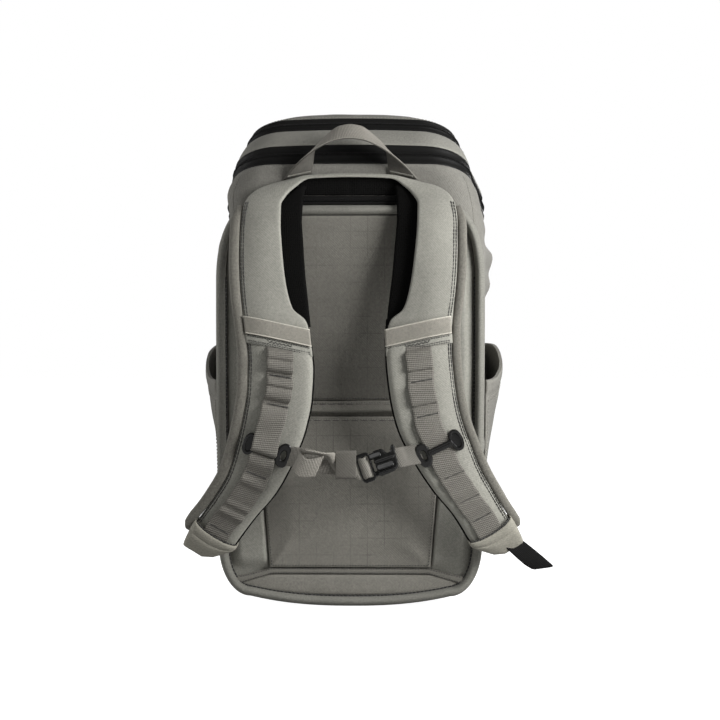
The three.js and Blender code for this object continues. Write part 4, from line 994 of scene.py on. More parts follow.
def swell(piece, pressure, cap, frames=16):
    """Blows a closed pad up with a cloth simulation; its back stays put."""
    start, end = np.empty((2, len(piece.data.vertices) * 3))
    piece.data.vertices.foreach_get("co", start)
    start = start.reshape(-1, 3)
    pinned = np.nonzero(start[:, 1] > start[:, 1].max() - PINNED_DEEP)[0]
    group = piece.vertex_groups.new(name="sewn")
    group.add(pinned.tolist(), 1.0, "REPLACE")
    modifier = piece.modifiers.new("Cloth", "CLOTH")
    for key, value in CLOTH_SETTINGS.items():
        setattr(modifier.settings, key, value)
    modifier.settings.uniform_pressure_force = pressure
    modifier.settings.effector_weights.gravity = 0
    modifier.point_cache.frame_start, modifier.point_cache.frame_end = 1, frames
    scene = bpy.context.scene
    for number in range(1, frames + 1):
        scene.frame_set(number)
    seen = piece.evaluated_get(bpy.context.evaluated_depsgraph_get())
    seen.data.vertices.foreach_get("co", end)
    move = end.reshape(-1, 3) - start
    length = np.linalg.norm(move, axis=1, keepdims=True)
    start = start + move * np.minimum(1, cap * MM / np.maximum(length, 1e-9))
    piece.modifiers.remove(modifier)
    piece.vertex_groups.remove(group)
    scene.frame_set(1)
    piece.data.vertices.foreach_set("co", start.ravel())
    piece.data.update()


# Back pads: lower and upper end, half width at each
UPPER_PAD = (205.6, 390.5, 94, 84)
LOWER_PAD = (38.8, 189.6, 80.3, 92.7)
# Rise of a back pad by the distance from its edge
PAD_STEPS = [(0, 0.28), (0.3, 0.52), (0.8, 0.62), (1.8, 0.68), (5, 0.75), (14, 0.81), (28, 0.86), (44, 0.88)]
PAD_RISE = 10.5
PAD_STITCH_Y = -97.1


def back_pads():
    for name, shape in (("upper", UPPER_PAD), ("lower", LOWER_PAD)):
        rings, nodes = pad_grid(*shape), ["back_pad_" + name]
        pad = loft("pad_cloth_" + name, rings, PRINTED[name], nodes, strip_caps=True)
        swell(pad, pressure=3.0, cap=2.0)
        z_low, z_high, half_low, half_high = shape
        lines = [((s * (half_high - 2), z_high - 3), (s * (half_low - 2), z_low + 2)) for s in (-1, 1)]
        lines.append(((2 - half_low, z_low + 2.2), (half_low - 2, z_low + 2.2)))
        for ends in lines:
            path = np.linspace(*[(x, PAD_STITCH_Y, z) for x, z in ends], 30)
            dark_stitches_and_shade.line(path, TO_VIEWER, pitch=2.8, fill=0.7)


HEM = Sizes(low=188, high=205.4, half=121, rear=-89.5, front=-97.2)
# Section of the hem band: share of its height and of its depth; its lower lip overhangs a dark slot
HEM_SECTION = [
    (0, 0), (0, 0.12), (0.26, 0.2), (0.35, 0.55), (0.36, 0.85), (0.4, 1.05), (0.47, 1.14), (0.58, 1.12),
    (0.7, 1.03), (0.8, 0.95), (0.86, 0.88), (0.92, 0.92), (0.98, 0.84), (1, 0.6), (1, 0),
]
HEM_STITCH = 0.86
LOWER_STITCH_Z = 186.6
LOWER_STITCH_Y = -96.0


def hem_band():
    """Pass-through band over the panel, folded at its edges and stitched flat along the top."""
    x = np.linspace(-HEM.half, HEM.half, 60)
    fade = np.clip(1 - np.abs(x / HEM.half) ** 8, 0.15, 1)
    wave = 0.35 * np.sin(x * 0.06)
    rings = beside([
        xyz(x, mix(HEM.rear, HEM.front, out * fade), mix(HEM.low, HEM.high, up) + wave)
        for up, out in HEM_SECTION
    ])
    rings[:, 4:-2] += grain(rings[:, 4:-2], 0.05, 6.0)[..., None] * (0, 0.4, 0)
    loft("hem_cloth", rings, PANEL, ["pass_through_hem"])
    upper = xyz(x, mix(HEM.rear, HEM.front, 0.92 * fade), mix(HEM.low, HEM.high, HEM_STITCH))[2:-2]
    lower = xyz(x, LOWER_STITCH_Y, LOWER_STITCH_Z)[9:-9]
    for path in (upper, lower):
        grey_thread.line(path, TO_VIEWER, pitch=2.6, fill=0.6)
        # A near-continuous dark line just below each stitch row: painted shade under the seam.
        dark_stitches_and_shade.line(path - (0, 0, 1.1), TO_VIEWER, pitch=9.0, fill=0.98)


TAPE = Sizes(half=117, knee=79, z_out=29, z_knee=38.2, wide_out=8.4, wide=6.2, front=-93.4)
TAPE_SECTION = [(0, 0), (0.02, 0.7), (0.12, 1), (0.5, 1.06), (0.88, 1), (0.98, 0.7), (1, 0)]
TAPE_SEWN = 112
LENS = Sizes(half=116, z_low=11.0, z_top=31.6, z_edge=21.5, low_rise=11.5, front=-94.6)


def tape_and_lens():
    """Seam tape below the lower pad and the lens-shaped lumbar pad under it."""
    x = np.linspace(-TAPE.half, TAPE.half, 110)
    knee = np.clip((np.abs(x) - TAPE.knee) / (TAPE.half - TAPE.knee), 0, 1) ** 0.9
    top, wide = mix(TAPE.z_knee, TAPE.z_out, knee), mix(TAPE.wide, TAPE.wide_out, knee)
    lines = [xyz(x, mix(PANEL_FACE, TAPE.front, out), top - wide * down) for down, out in TAPE_SECTION]
    loft("seam_tape_cloth", beside(lines), TAPE_CLOTH, ["seam_tape"])
    sewn = np.abs(x) < TAPE_SEWN
    for down in (0.16, 0.84):
        path = xyz(x, TAPE.front - 0.1, top - wide * down)[sewn]
        dark_stitches_and_shade.line(path, TO_VIEWER, pitch=2.6, fill=0.66)
    share = np.linspace(-1, 1, 90)
    x = LENS.half * share
    fade = np.maximum(0.1, 1 - np.abs(share) ** 6)
    knee = np.clip((LENS.half - np.abs(x)) / (LENS.half - TAPE.knee), 0, 1)
    top = mix(LENS.z_edge, LENS.z_top, knee**0.9)
    low = np.minimum(LENS.z_low + LENS.low_rise * np.abs(share) ** 2.6, top - 0.5)
    lines = []
    for turn in np.linspace(0, math.pi, 15):
        up = 0.5 + 0.5 * signed_power(math.cos(turn), 0.6)
        y = mix(PANEL_FACE, LENS.front, fade * math.sin(turn) ** 0.5)
        lines.append(xyz(x, y, mix(low, top, up)))
    lens = loft("lumbar_cloth", beside(lines), PANEL, ["lumbar_pad"])


REAR_ZIP = Sizes(half=90, low=401.6, high=410.6, front=-88.4, teeth=-89.0)
COLLAR = Sizes(half=60, low=411, high=430.2, front=-87)
COLLAR_SECTION = [
    (0, 0), (0.02, 0.8), (0.1, 1), (0.3, 1.2), (0.5, 1.3), (0.7, 1.2), (0.9, 1), (0.98, 0.8), (1, 0),
]


def rear_pocket():
    """Zip of the flat rear pocket and the black collar above it."""
    tape, rear = REAR_ZIP, BACK - GAP
    x = np.linspace(-tape.half, tape.half, 60)
    section = [(share, tape.front + 0.4 - rise * 0.55) for share, rise in ZIP_PROFILE]
    section = [(0, rear)] + section + [(1, rear)]
    lines = [xyz(x, y, mix(tape.low, tape.high, share)) for share, y in section]
    loft("rear_zip_tape", beside(lines), ZIP, ["rear_zip"])
    coil(xyz(x, tape.teeth, (tape.low + tape.high) / 2), TO_VIEWER, UP, wide=2.8)
    x = np.linspace(-COLLAR.half, COLLAR.half, 50)
    seam = 0.9 * np.exp(-((x / 1.6) ** 2))
    lines = []
    for share, rise in COLLAR_SECTION:
        y = mix(rear, COLLAR.front, rise) + seam * (rise > 0.9)
        lines.append(xyz(x, y, mix(COLLAR.low, COLLAR.high, share)))
    loft("collar_cloth", beside(lines), MESH, ["collar_panel"])


# Harness

SIDES = {"left": -1, "right": 1}
YOKE_OUTER, YOKE_INNER = [0, 2, 1], [3, 5, 4]  # columns of the yoke's table, as x, y, z
YOKE_STEP = 2.4
YOKE_BEND = 5.0
YOKE_ARCH_THINNER = 1.8
YOKE_STITCH_TOP = 404.0
# Overlapping dark stitches on the yoke and straps make continuous lines: the thread and painted shade of the
# groove it sits in.
STRAP_STITCH_AND_SHADE = dict(pitch=4.0, fill=1.1, wide=1.1)


def shoulder_yoke():
    strip = Strip(mirrored(YOKE, YOKE_OUTER), mirrored(YOKE, YOKE_INNER), YOKE_STEP, FACING)
    sewn = smooth((strip.a[:, 2] - 380) / 40)
    arch = smooth((56 - np.abs(strip.mid[:, 0])) / 16)
    thick = mix(YOKE_THICK, YOKE_EDGE_THICK, sewn) - YOKE_ARCH_THINNER * arch
    bend = YOKE_BEND * (1 - sewn)
    rings = pad_rings(strip, thick, 0, crown=0.9, edge=2.6, ripple=0.45, front_steps=16, bend=bend)
    yoke = loft("yoke_cloth", rings, PACK, ["shoulder_yoke"])
    for side in (-1, 1):
        part = (strip.a[:, 2] < YOKE_STITCH_TOP) & (strip.mid[:, 0] * side > 0)
        # Continuous dark lines: thread and painted groove shade.
        for offset in (1.8, 4.2):
            rise = YOKE_THICK / 2 + 0.1 - bend * (1 - offset / BEND_WIDE) ** 2
            dark_stitches_and_shade.line(strip.line(offset, rise[:, None])[part], strip.out[part], **STRAP_STITCH_AND_SHADE)


def lining(side, name):
    """Black lining that runs under the yoke's inner edge and shows beside it."""
    yoke = np.array(YOKE[:10], float)
    free, z, y, under = np.array(LINING, float).T
    outer = xyz(side * (np.interp(z, yoke[:, 4], yoke[:, 3]) + under), y, z)
    strip = Strip(outer, xyz(side * free, y, z), YOKE_STEP, FACING)
    depth = -(YOKE_THICK / 2 + LINING_THICK / 2 + GAP + 0.6)
    rings = pad_rings(strip, LINING_THICK, depth, crown=0.4, edge=2.6, ripple=0.3)
    piece = loft("lining_mesh_" + name, rings, MESH, ["lining_" + name])


# How far each strap is turned to the light: its outer edge goes back and its inner edge comes forward
STRAP_TURN = {-1: 5.0, 1: 8.0}


def strap_strip(side):
    x_out, z_out, y_out, x_in, z_in, y_in, swing = np.array(STRAP, float).T
    row = np.arange(len(STRAP))
    lift = SWING_LIFT * row / row[-1]
    if side < 0:
        swing, lift = 0, 0
    turn = STRAP_TURN[side] * np.minimum(1, 0.4 + 0.6 * row)
    outer = xyz(side * (x_out + swing), y_out + turn, z_out + lift)
    inner = xyz(side * (x_in + swing), y_in - turn, z_in + lift)
    return Strip(outer, inner, 2.2, FACING)


BACKING_THICK = 3.4
BACKING_PROUD = 1.5
BACKING_START = 20.0
BACKING_TAPER = 2.5
# Face of a lower strap across its width: millimetres in from the outer or inner edge, drop from the crown
OUTER_FACE = [(0.4, 9), (0, 7.8), (0.3, 6.2), (1.4, 5.2), (4, 4.2), (8, 2.7), (12, 1.4), (17, 0.35), (21, 0)]
INNER_FACE = [(17, 0), (13, 0), (9, 0), (6, 0.25), (3.4, 1.0), (1.5, 2.6), (0.4, 4.9), (0.2, 7.2)]


def strap_rings(strip, thick):
    """Rings of a padded strap, low at its bound outer edge and rolled over at its inner edge."""
    columns = [(strip.line(w, STRAP_FRONT), drop) for w, drop in OUTER_FACE]
    outer, inner = strip.line(OUTER_FACE[-1][0], STRAP_FRONT), strip.line(INNER_FACE[0][0], STRAP_FRONT, True)
    columns += [(mix(outer, inner, share), 0) for share in (0.25, 0.5, 0.75)]
    columns += [(strip.line(w, STRAP_FRONT, True), drop) for w, drop in INNER_FACE]
    rings = [place - strip.out * drop for place, drop in columns]
    for share in (0.06, 0.35, 0.65, 0.94):
        rings.append(mix(strip.b, strip.a, share) + strip.out * (STRAP_FRONT - thick)[:, None])
    rings = beside(rings)
    front = slice(2, len(OUTER_FACE) + len(INNER_FACE) + 2)
    lift = 0.5 * grain(rings[:, front], 0.03) + 0.3 * grain(rings[:, front], 0.08, 7.0)
    rings[:, front] += strip.out[:, None] * lift[..., None]
    return rings


def lower_strap(strip, name):
    thick = mix(STRAP_THICK, STRAP_END_THICK, smooth((strip.share - 0.75) / 0.25))
    rings = strap_rings(strip, thick - BACKING_THICK - 0.2)
    piece = loft("strap_cloth_" + name, rings, PACK, ["strap_" + name])
    steps = np.linspace(1, 0.1, 10)[:, None]
    under_yoke = unit(strip.a[:1] - strip.a[8:9]) * BACKING_START * steps
    outer, inner = strip.a + strip.across * 2, strip.b + strip.across * BACKING_PROUD
    outer = np.concatenate([outer[:1] + under_yoke, outer])
    inner = np.concatenate([inner[:1] + under_yoke - strip.across[:1] * BACKING_TAPER * steps, inner])
    thick = np.concatenate([np.full(len(steps), thick[0]), thick])
    backing = Strip(outer, inner, dense=True, facing=FACING)
    rings = pad_rings(backing, BACKING_THICK, STRAP_FRONT - thick + BACKING_THICK / 2, crown=0.0, edge=1.4)
    piece = loft("strap_backing_" + name, rings, MESH)
    shown = strip.share < CAP_SHARE
    # Continuous dark lines: thread and painted groove shade.
    for offset, drop in ((1.4, 5.1), (3.4, 4.3)):
        path = strip.line(offset, STRAP_FRONT - drop)[shown]
        dark_stitches_and_shade.line(path, strip.out[shown], **STRAP_STITCH_AND_SHADE)


BINDING_PAST = 6.0
BINDING_ROUND = {-1: (5.4, 4.4, 0.6), 1: (4.6, 3.3, 1.4)}  # half width, half depth, how far it is sunk


def binding(side, strip, name):
    """Piped binding along the outer edge of the yoke and the strap."""
    yoke = np.array(YOKE[1:7], float)[::-1]
    top = Strip(yoke[:, YOKE_OUTER] * (side, 1, 1), yoke[:, YOKE_INNER] * (side, 1, 1), YOKE_STEP, FACING)
    past = strip.a[-1] + unit(strip.a[-1] - strip.a[-6]) * BINDING_PAST
    pairs = (
        (top.a, strip.a, past),
        (top.across, strip.across, strip.across[-1]),
        (top.out, strip.out, strip.out[-1]),
    )
    rows = [np.concatenate([up[:-3], low, np.linspace(low[-1], end, 8)[1:]]) for up, low, end in pairs]
    rows = np.array(rows)
    for _ in range(6):
        rows[:, 1:-1] = (rows[:, :-2] + 2 * rows[:, 1:-1] + rows[:, 2:]) / 4
    edge, across, out = rows[0], unit(rows[1]), unit(rows[2])
    half, deep, sunk = BINDING_ROUND[side]
    reach = run(edge)
    taper = np.minimum(1, 0.45 + reach / 30) * np.sqrt(np.clip((reach[-1] - reach) / 7, 0.02, 1))
    taper = taper[:, None]
    middle = edge - across * (half - 0.5) + out * (STRAP_FRONT - STRAP_THICK / 2 - sunk)
    middle -= across * (0.8 * smooth((reach - reach[-1] + 34) / 26))[:, None]
    lines = []
    for turn in turns(14):
        w, n = -math.cos(turn), signed_power(math.sin(turn), 0.8)
        if w < 0:
            lines.append(middle + across * (w * half) * taper + out * (n * deep) * taper)
        else:
            lines.append(middle + across * (0.9 * w**0.6 * half) + out * (n * 0.92 * deep) * taper)
    rings = beside(lines)
    rings += out[:, None] * (0.3 * grain(rings, 0.05, 12.0))[..., None]
    loft("binding_cloth_" + name, rings, FUZZY, ["binding_" + name])


BAND_BEND = 4.6
BAND_UP, BAND_LOW, BAND_THICK = -9.0, 7.5, 2.0
# Sections of the cross band and of the strip below it:
# way down the strap, then share of the band's thickness, or rise of the strip
BAND_SECTION = [
    (BAND_UP, 0), (BAND_UP, 0.7), (BAND_UP + 0.7, 0.95), (BAND_UP + 3, 1), (0, 1.02), (BAND_LOW - 3, 1),
    (BAND_LOW - 0.7, 0.95), (BAND_LOW, 0.7), (BAND_LOW, 0),
]
JOINT_SECTION = [(0.8, -2.4), (0.8, -0.3), (1.2, 0.0), (5.2, 0.25), (9.0, 0.0), (9.4, -0.3), (9.4, -2.4)]


def cross_band(strip, name):
    """Slanted elastic band over the joint of yoke and strap, with a stitched strip below it."""
    a, b, out = strip.a[0], strip.b[0], strip.out[0]
    down = unit(strip.at(1 / 24).a - a)
    share = np.linspace(-0.008, 0.992, 34)
    crest = 0.9 * (1 - (2 * share - 1) ** 2) - BAND_BEND * np.clip(1 - share / 0.36, 0, 1) ** 2
    base = mix(a, b, share[:, None]) + out * (STRAP_FRONT + 1.3 + crest)[:, None]
    rings = beside([base + down * along + out * rise * BAND_THICK for along, rise in BAND_SECTION])
    loft("cross_band_web_" + name, rings, BAND, ["cross_band_" + name])
    face = base + out * BAND_THICK * 0.9
    for end, along in (("upper", BAND_UP + 0.3), ("lower", BAND_LOW - 0.3)):
        loft(f"cross_band_{end}_edge_{name}", cord_rings(face + down * along, out, 0.75), PALE)
    low = base + down * BAND_LOW
    rings = beside([low + down * along + out * rise for along, rise in JOINT_SECTION])
    loft("joint_strip_" + name, rings, PACK)
    for along in (2.0, 6.6, 8.4):
        dark_stitches_and_shade.line(low[1:-1] + down * along + out * 0.35, out, pitch=2.4, fill=0.78)
    path = low[11:24] + out * 0.45
    zigzag = np.where(np.arange(len(path)) % 2, 1.5, -1.5)[:, None]
    dark_stitches_and_shade.line(path + down * (4.2 + zigzag), out, pitch=2.2, fill=0.95)


# Rise of the ladder webbing by the share of the strap, with a sharp tuck at the lower end of each loop
LADDER_LEFT = [
    (0.05, 0), (0.062, 0), (0.07, 1.2), (0.082, 2.9), (0.096, 3.5), (0.108, 2.3), (0.118, 3.0),
    (0.13, 4.2), (0.142, 4.0), (0.152, 2.6), (0.157, 1.2), (0.158, 0.4), (0.16, 0.05), (0.17, 0),
    (0.182, 0), (0.19, 1.0), (0.2, 2.9), (0.214, 3.5), (0.228, 2.1), (0.24, 3.0), (0.254, 4.3),
    (0.268, 4.0), (0.278, 2.6), (0.284, 1.2), (0.285, 0.4), (0.287, 0.05), (0.3, 0), (0.311, 0.3),
    (0.318, 2.2), (0.335, 3.8), (0.37, 4.6), (0.41, 4.4), (0.44, 4.8), (0.465, 5.6), (0.478, 5.8),
    (0.488, 4.6), (0.492, 2.4), (0.494, 0.7), (0.497, 0.4), (0.503, 1.8), (0.512, 2.6), (0.53, 2.8),
    (0.55, 1.6), (0.568, 0.3), (0.576, 0), (0.585, 0.2), (0.594, 0.6), (0.604, 2.2), (0.613, 3.2),
    (0.622, 3.0), (0.634, 1.4), (0.65, 0.7), (0.68, 0.9), (0.705, 0.6), (0.718, 1.4), (0.726, 1.7),
    (0.736, 0.8), (0.748, 0.6), (0.757, 1.8), (0.766, 2.6), (0.776, 1.6), (0.788, 0.4), (0.8, 0.2),
    (0.82, 0.1), (0.83, 0), (0.84, 0.1), (0.87, 0.5), (0.9, 0.3), (1, 0),
]
LADDER_RIGHT = [
    (0.05, 0), (0.062, 0.2), (0.078, 1.8), (0.095, 2.4), (0.112, 1.8), (0.13, 2.5), (0.143, 1.9),
    (0.148, 0.6), (0.15, 0.05), (0.16, 0.2), (0.194, 0), (0.21, 0.4), (0.225, 1.8), (0.245, 2.2),
    (0.265, 1.8), (0.285, 2.5), (0.299, 1.9), (0.304, 0.6), (0.306, 0.05), (0.318, 0.2), (0.346, 0),
    (0.36, 0.6), (0.385, 1.7), (0.41, 1.9), (0.435, 1.4), (0.455, 0.5), (0.467, 0), (0.485, 0),
    (0.495, 0.5), (0.51, 1.5), (0.535, 1.8), (0.56, 1.2), (0.578, 0.2), (0.586, 0), (0.594, 0.5),
    (0.605, 1.6), (0.625, 1.1), (0.645, 0.9), (0.66, 1.7), (0.68, 0.9), (0.69, 0.1), (0.697, 0),
    (0.705, 0.5), (0.716, 1.5), (0.735, 1.0), (0.75, 1.3), (0.77, 0.5), (0.78, 0.1), (0.787, 0),
    (0.8, 0.5), (0.83, 0.8), (0.87, 0.3), (1, 0),
]
LADDER_SINK = 1.6
LADDER_GAIN = 1.2


def ladder(side, strip, name):
    """Webbing sewn down the strap in rows, folded between them."""
    table = LADDER_LEFT if side < 0 else LADDER_RIGHT
    shares, rises = curve(table, 7 * (len(table) - 1) + 1).T
    rises = LADDER_GAIN * rises - LADDER_SINK * smooth((LADDER_START + 0.03 - shares) / 0.016)
    place = strip.at(shares)
    rest = STRAP_FRONT + GAP + WEB_THICK / 2
    drift = np.interp(shares, *zip(*LADDER_DRIFT[side])) + 0.5 * np.sin(shares * 37) + 0.2 * rises
    middle = place.mid + place.out * (rest + rises)[:, None] + place.across * drift[:, None]
    half = place.across * (WEB + 1) / 2
    web = Strip(middle - half, middle + half, dense=True)
    if web.out[0] @ place.out[0] < 0:
        web.out *= -1
    loft("ladder_web_" + name, web_rings(web, WEB_THICK), LADDER_WEB, ["ladder_" + name])
    for share in LADDER_TACKS[side]:
        spot = strip.at(share)
        top = spot.mid + spot.out * (rest + WEB_THICK / 2 + 0.1) + spot.along * 1.2
        dark_stitches_and_shade.bar(top, spot.across, spot.along, spot.out, WEB - 4, 1.7, 1.3)


# Moulded pieces

def rounded_box(wide, tall, radius, count=6):
    points = []
    for cx, cy, quarter in ((1, 1, 0), (-1, 1, 1), (-1, -1, 2), (1, -1, 3)):
        for i in range(count + 1):
            turn = math.pi / 2 * (quarter + i / count)
            points.append((
                cx * (wide / 2 - radius) + radius * math.cos(turn),
                cy * (tall / 2 - radius) + radius * math.sin(turn),
            ))
    return np.array(points)


def shrunk(outline, inset):
    """An outline moved in by inset along its own normals."""
    ahead, behind = np.roll(outline, -1, axis=0), np.roll(outline, 1, axis=0)
    along = unit(ahead - behind)
    inward = np.stack([-along[:, 1], along[:, 0]], axis=-1)
    area = np.sum(outline[:, 0] * ahead[:, 1] - ahead[:, 0] * outline[:, 1])
    return outline + inward * inset * (1 if area > 0 else -1)


class Place:
    """A flat local frame: right, up and out."""

    def __init__(self, origin, right, up, out):
        self.origin = np.asarray(origin, float)
        self.axes = np.array([right, up, out], float)

    def points(self, outline, out):
        return self.origin + np.column_stack([outline, np.broadcast_to(out, len(outline))]) @ self.axes


def closed_tube(rings):
    """Points and faces of a tube of rings with both ends closed."""
    count, size = len(rings), len(rings[0])
    last = (count - 1) * size
    ends = [list(range(size))[::-1], list(range(last, last + size))]
    return np.concatenate(rings), quads(count, size).tolist() + ends


def rim_rings(outline, back, front, edge, place, sign=1):
    """Rings up the side of a plate from its back to its front, round both edges."""
    quarter = [math.pi / 2 * i / 3 for i in range(4)]
    steps = [(1 - math.sin(turn), back + edge * (1 - math.cos(turn))) for turn in quarter]
    steps += [(1 - math.cos(turn), front - edge * (1 - math.sin(turn))) for turn in quarter]
    return [place.points(shrunk(outline, sign * edge * inset), out) for inset, out in steps]


def plate(outline, back, front, edge, place):
    """Points and faces of a plate with rounded edges."""
    return closed_tube(rim_rings(outline, back, front, edge, place))


def hoop(outer, inner, back, front, edge, place):
    """Points and faces of a plate with a window; both outlines have equally many points."""
    rings = rim_rings(outer, back, front, edge, place) + rim_rings(inner, back, front, edge, place, -1)[::-1]
    return np.concatenate(rings), quads(len(rings), len(outer), True).tolist()


def moulding(name, parts, nodes):
    """A moulded black piece whose flats stay crisp."""
    sharpen(join(name, parts, PLASTIC, nodes))


def sharpen(piece, angle=14):
    piece.data.set_sharp_from_angle(angle=math.radians(angle))


def oval(wide, tall, shift, count=44):
    turn, power = turns(count), 2 / 2.2
    x, y = wide / 2 * signed_power(np.cos(turn), power), tall / 2 * signed_power(np.sin(turn), power)
    return np.stack([x, y], axis=-1) + (shift, 0)


SLIDER = Sizes(lobe_at=17.6, lobe_wide=13.0, tall=22.0, hole_wide=5.0, hole_tall=10.0, front=4.6)
INNER_LOBE = (1.16, 1.12)  # width and height of the inner lobe as shares of the outer one's
DISH = Sizes(wide=6.6, tall=14.5, floor=2.4)
# Bar over the webbing on each side: height, back, front
SLIDER_BAR = {-1: (4.8, 0.4, 4.4), 1: (6.4, 2.5, 6.2)}


def slider(side, strip, name):
    """Sternum slider: two lobes beside the webbing, a bar over it and a slot for the sternum web."""
    spot = strip.at(SLIDER_AT)
    right = unit(np.cross(-spot.along, spot.out))
    up = unit(np.cross(spot.out, right))
    place = Place(spot.mid + spot.out * (STRAP_FRONT + 0.5), right, up, spot.out)
    inward = SLIDER.lobe_at * (1 if right @ spot.across > 0 else -1)
    outer, dish = oval(SLIDER.lobe_wide, SLIDER.tall, -inward), oval(DISH.wide, DISH.tall, -inward)
    larger = oval(SLIDER.lobe_wide * INNER_LOBE[0], SLIDER.tall * INNER_LOBE[1], inward)
    hole = oval(SLIDER.hole_wide, SLIDER.hole_tall, inward)
    bar_tall, bar_back, bar_front = SLIDER_BAR[side]
    bar_wide = 2 * SLIDER.lobe_at - 9
    parts = [
        plate(outer, 0, DISH.floor, 1.0, place),
        hoop(outer, dish, DISH.floor - 0.2, SLIDER.front, 1.1, place),
        hoop(larger, hole, 0, SLIDER.front, 1.7, place),
        plate(rounded_box(bar_wide, bar_tall, 1.6, 4), bar_back, bar_front, 1.4, place),
    ]
    if side > 0:
        parts.append(plate(rounded_box(bar_wide - 4, 1.2, 0.55, 3), 5.6, 6.7, 0.4, place))
    moulding("slider_" + name + "_moulding", parts, ["slider_" + name])


CAP_WIDE = 24.8
CAP_DEEP = 10.0
CAP_BACK = 1.2
# Rings of an end cap, from its closed end round the folded mouth to its inside:
# way down the strap, share of the width and of the depth, shortening of the inner side, dip of the front
CAP_ROWS = [
    (29.5, 0.78, 0.2, 20, 0), (29.2, 0.86, 0.34, 20, 0), (28.2, 0.89, 0.46, 19.6, 0),
    (25.5, 0.92, 0.58, 18, 0), (20, 0.95, 0.74, 14, 1), (14, 0.975, 0.88, 9, 2),
    (9.4, 0.99, 0.94, 5.6, 2.6), (8.8, 0.985, 0.9, 5, 2.8), (8.2, 0.995, 0.96, 4.6, 2.8),
    (4, 1.0, 1.03, 2, 3.4), (1, 1.0, 1.05, 0.5, 3.8), (-0.6, 0.995, 1.02, 0, 3.8),
    (-1.3, 0.975, 0.95, 0, 3.8), (-1.2, 0.95, 0.87, 0, 3.8), (2, 0.93, 0.82, 1, 3),
    (14, 0.92, 0.68, 7, 1), (21, 0.84, 0.4, 12, 0),
]
# Ring just inside the cap's mouth, where a continuous dark line is laid as painted shadow of the gap between
# cap and strap.
CAP_MOUTH_SHADOW_RING = (-2.0, 0.93, 0.84, 0, 3.8)


def end_cap(strip, name):
    """Cloth cup that the strap's end goes into, with a folded hem."""
    spot = strip.at(CAP_SHARE)
    middle = spot.mid - spot.out * CAP_BACK
    thick = unit(np.cross(spot.along, spot.across))
    thick = thick if thick @ spot.out > 0 else -thick
    turn = turns(56)
    w, n = signed_power(np.cos(turn), 0.36), signed_power(np.sin(turn), 0.52)

    def ring(down, wide, deep, skew, dip):
        slip = down - skew * np.clip((w - 0.25) / 0.75, 0, 1) + dip * (1 - w**2) * (n > 0)
        steps = ((spot.across, w * CAP_WIDE * wide), (thick, n * CAP_DEEP * deep), (spot.along, slip))
        return middle + sum(way * step[:, None] for way, step in steps)

    rings = np.array([ring(*row) for row in CAP_ROWS])
    rings[:13] += thick * (0.7 * grain(rings[:13], 0.07, 2.5))[..., None]
    loft("cap_cloth_" + name, rings, CAP, ["end_cap_" + name])
    # Continuous dark line at the mouth: painted shadow, not a seam.
    dark_stitches_and_shade.line(ring(*CAP_MOUTH_SHADOW_RING)[n > 0.3], thick, pitch=3.0, fill=1.1, wide=1.7)


def anchor_web(side, strip, name):
    """Black webbing from the back of the end cap to the lower corner of the pack."""
    spot = strip.at(CAP_SHARE)
    start = spot.mid - spot.out * CAP_BACK + spot.along * 8 - spot.out * 10.5
    turned = spot.across * 0.6 + np.array([-side * 0.2, 0, -1]) * 0.4
    web = web_between([
        (start, spot.across),
        (start - spot.out * 7, turned),
        ((side * 131.5, -88, 69), (-side * 0.1, 0, -1)),
        ((side * 131.4, -62, 64), (-side * 0.06, 0, -1)),
    ], WEB)
    rings = web_rings(web, WEB_THICK)
    loft("anchor_webbing_" + name, rings, BLACK_WEB, ["anchor_web_" + name])


# Free adjuster end: middle, and half of the slanted width
TAIL = [
    ((149, -121, 75.5), (5.5, 5.5, 4.6)),
    ((165, -115, 62.5), (6.8, 5, 4.8)),
    ((178, -114, 51.5), (9, 3.6, 3.8)),
    ((186, -115, 45), (10.4, 2, 2.4)),
    ((190, -115.6, 42), (10.8, 1, 1.6)),
    ((191.4, -115.8, 40.9), (10.4, 0.8, 1.4)),
    ((192, -115.9, 40.4), (8.6, 0.6, 1.2)),
]
TAIL_FOLD = 15.0  # length of the folded end
TAIL_FOLD_THICKER = 0.9


def adjuster_tail():
    """Free end of the right adjuster, cut on the slant and folded over."""
    web = web_through(TAIL, 1.0)
    rings = web_rings(web, WEB_THICK)
    folded = smooth((web.reach - web.reach[-1] + TAIL_FOLD) / 2)[:, None, None]
    out = web.out[:, None]
    spread = np.sum((rings - rings.mean(axis=1, keepdims=True)) * out, axis=-1, keepdims=True)
    rings = rings + folded * out * spread * TAIL_FOLD_THICKER
    loft("adjuster_webbing", rings, BLACK_WEB, ["adjuster_tail"])


def grab_handle():
    strip = Strip(mirrored(HANDLE, [0, 1, 2]), mirrored(HANDLE, [3, 4, 5]), 1.8)
    top = strip.out if strip.out[len(strip.out) // 2][2] > 0 else -strip.out
    half_thick = HANDLE_THICK / 2
    # Two overlapping layers of one webbing: a lighter upper copy as painted light and a darker underside copy
    # as painted shade.
    rings = web_rings(strip, half_thick)
    lift = (top * half_thick / 2)[:, None]
    loft("handle_webbing", rings + lift, PAINTED_LIGHT_WEB, ["grab_handle"])
    loft("handle_painted_shade_underside", rings - lift, PAINTED_SHADE_WEB)
    for end in (2, -3):
        facing = strip.out[end] if strip.out[end][1] < 0 else -strip.out[end]
        place, wide = strip.mid[end] + facing * 1.1, strip.width[end] - 3
        grey_thread.bar(place, strip.across[end], strip.along[end], facing, wide)


# Side pockets

POCKET = Sizes(
    y_back=-58, y_front=62, low=34, mouth_back=226, mouth_front=264, open=15, open_from=130, open_full=245,
    hem_from=0.93,
)


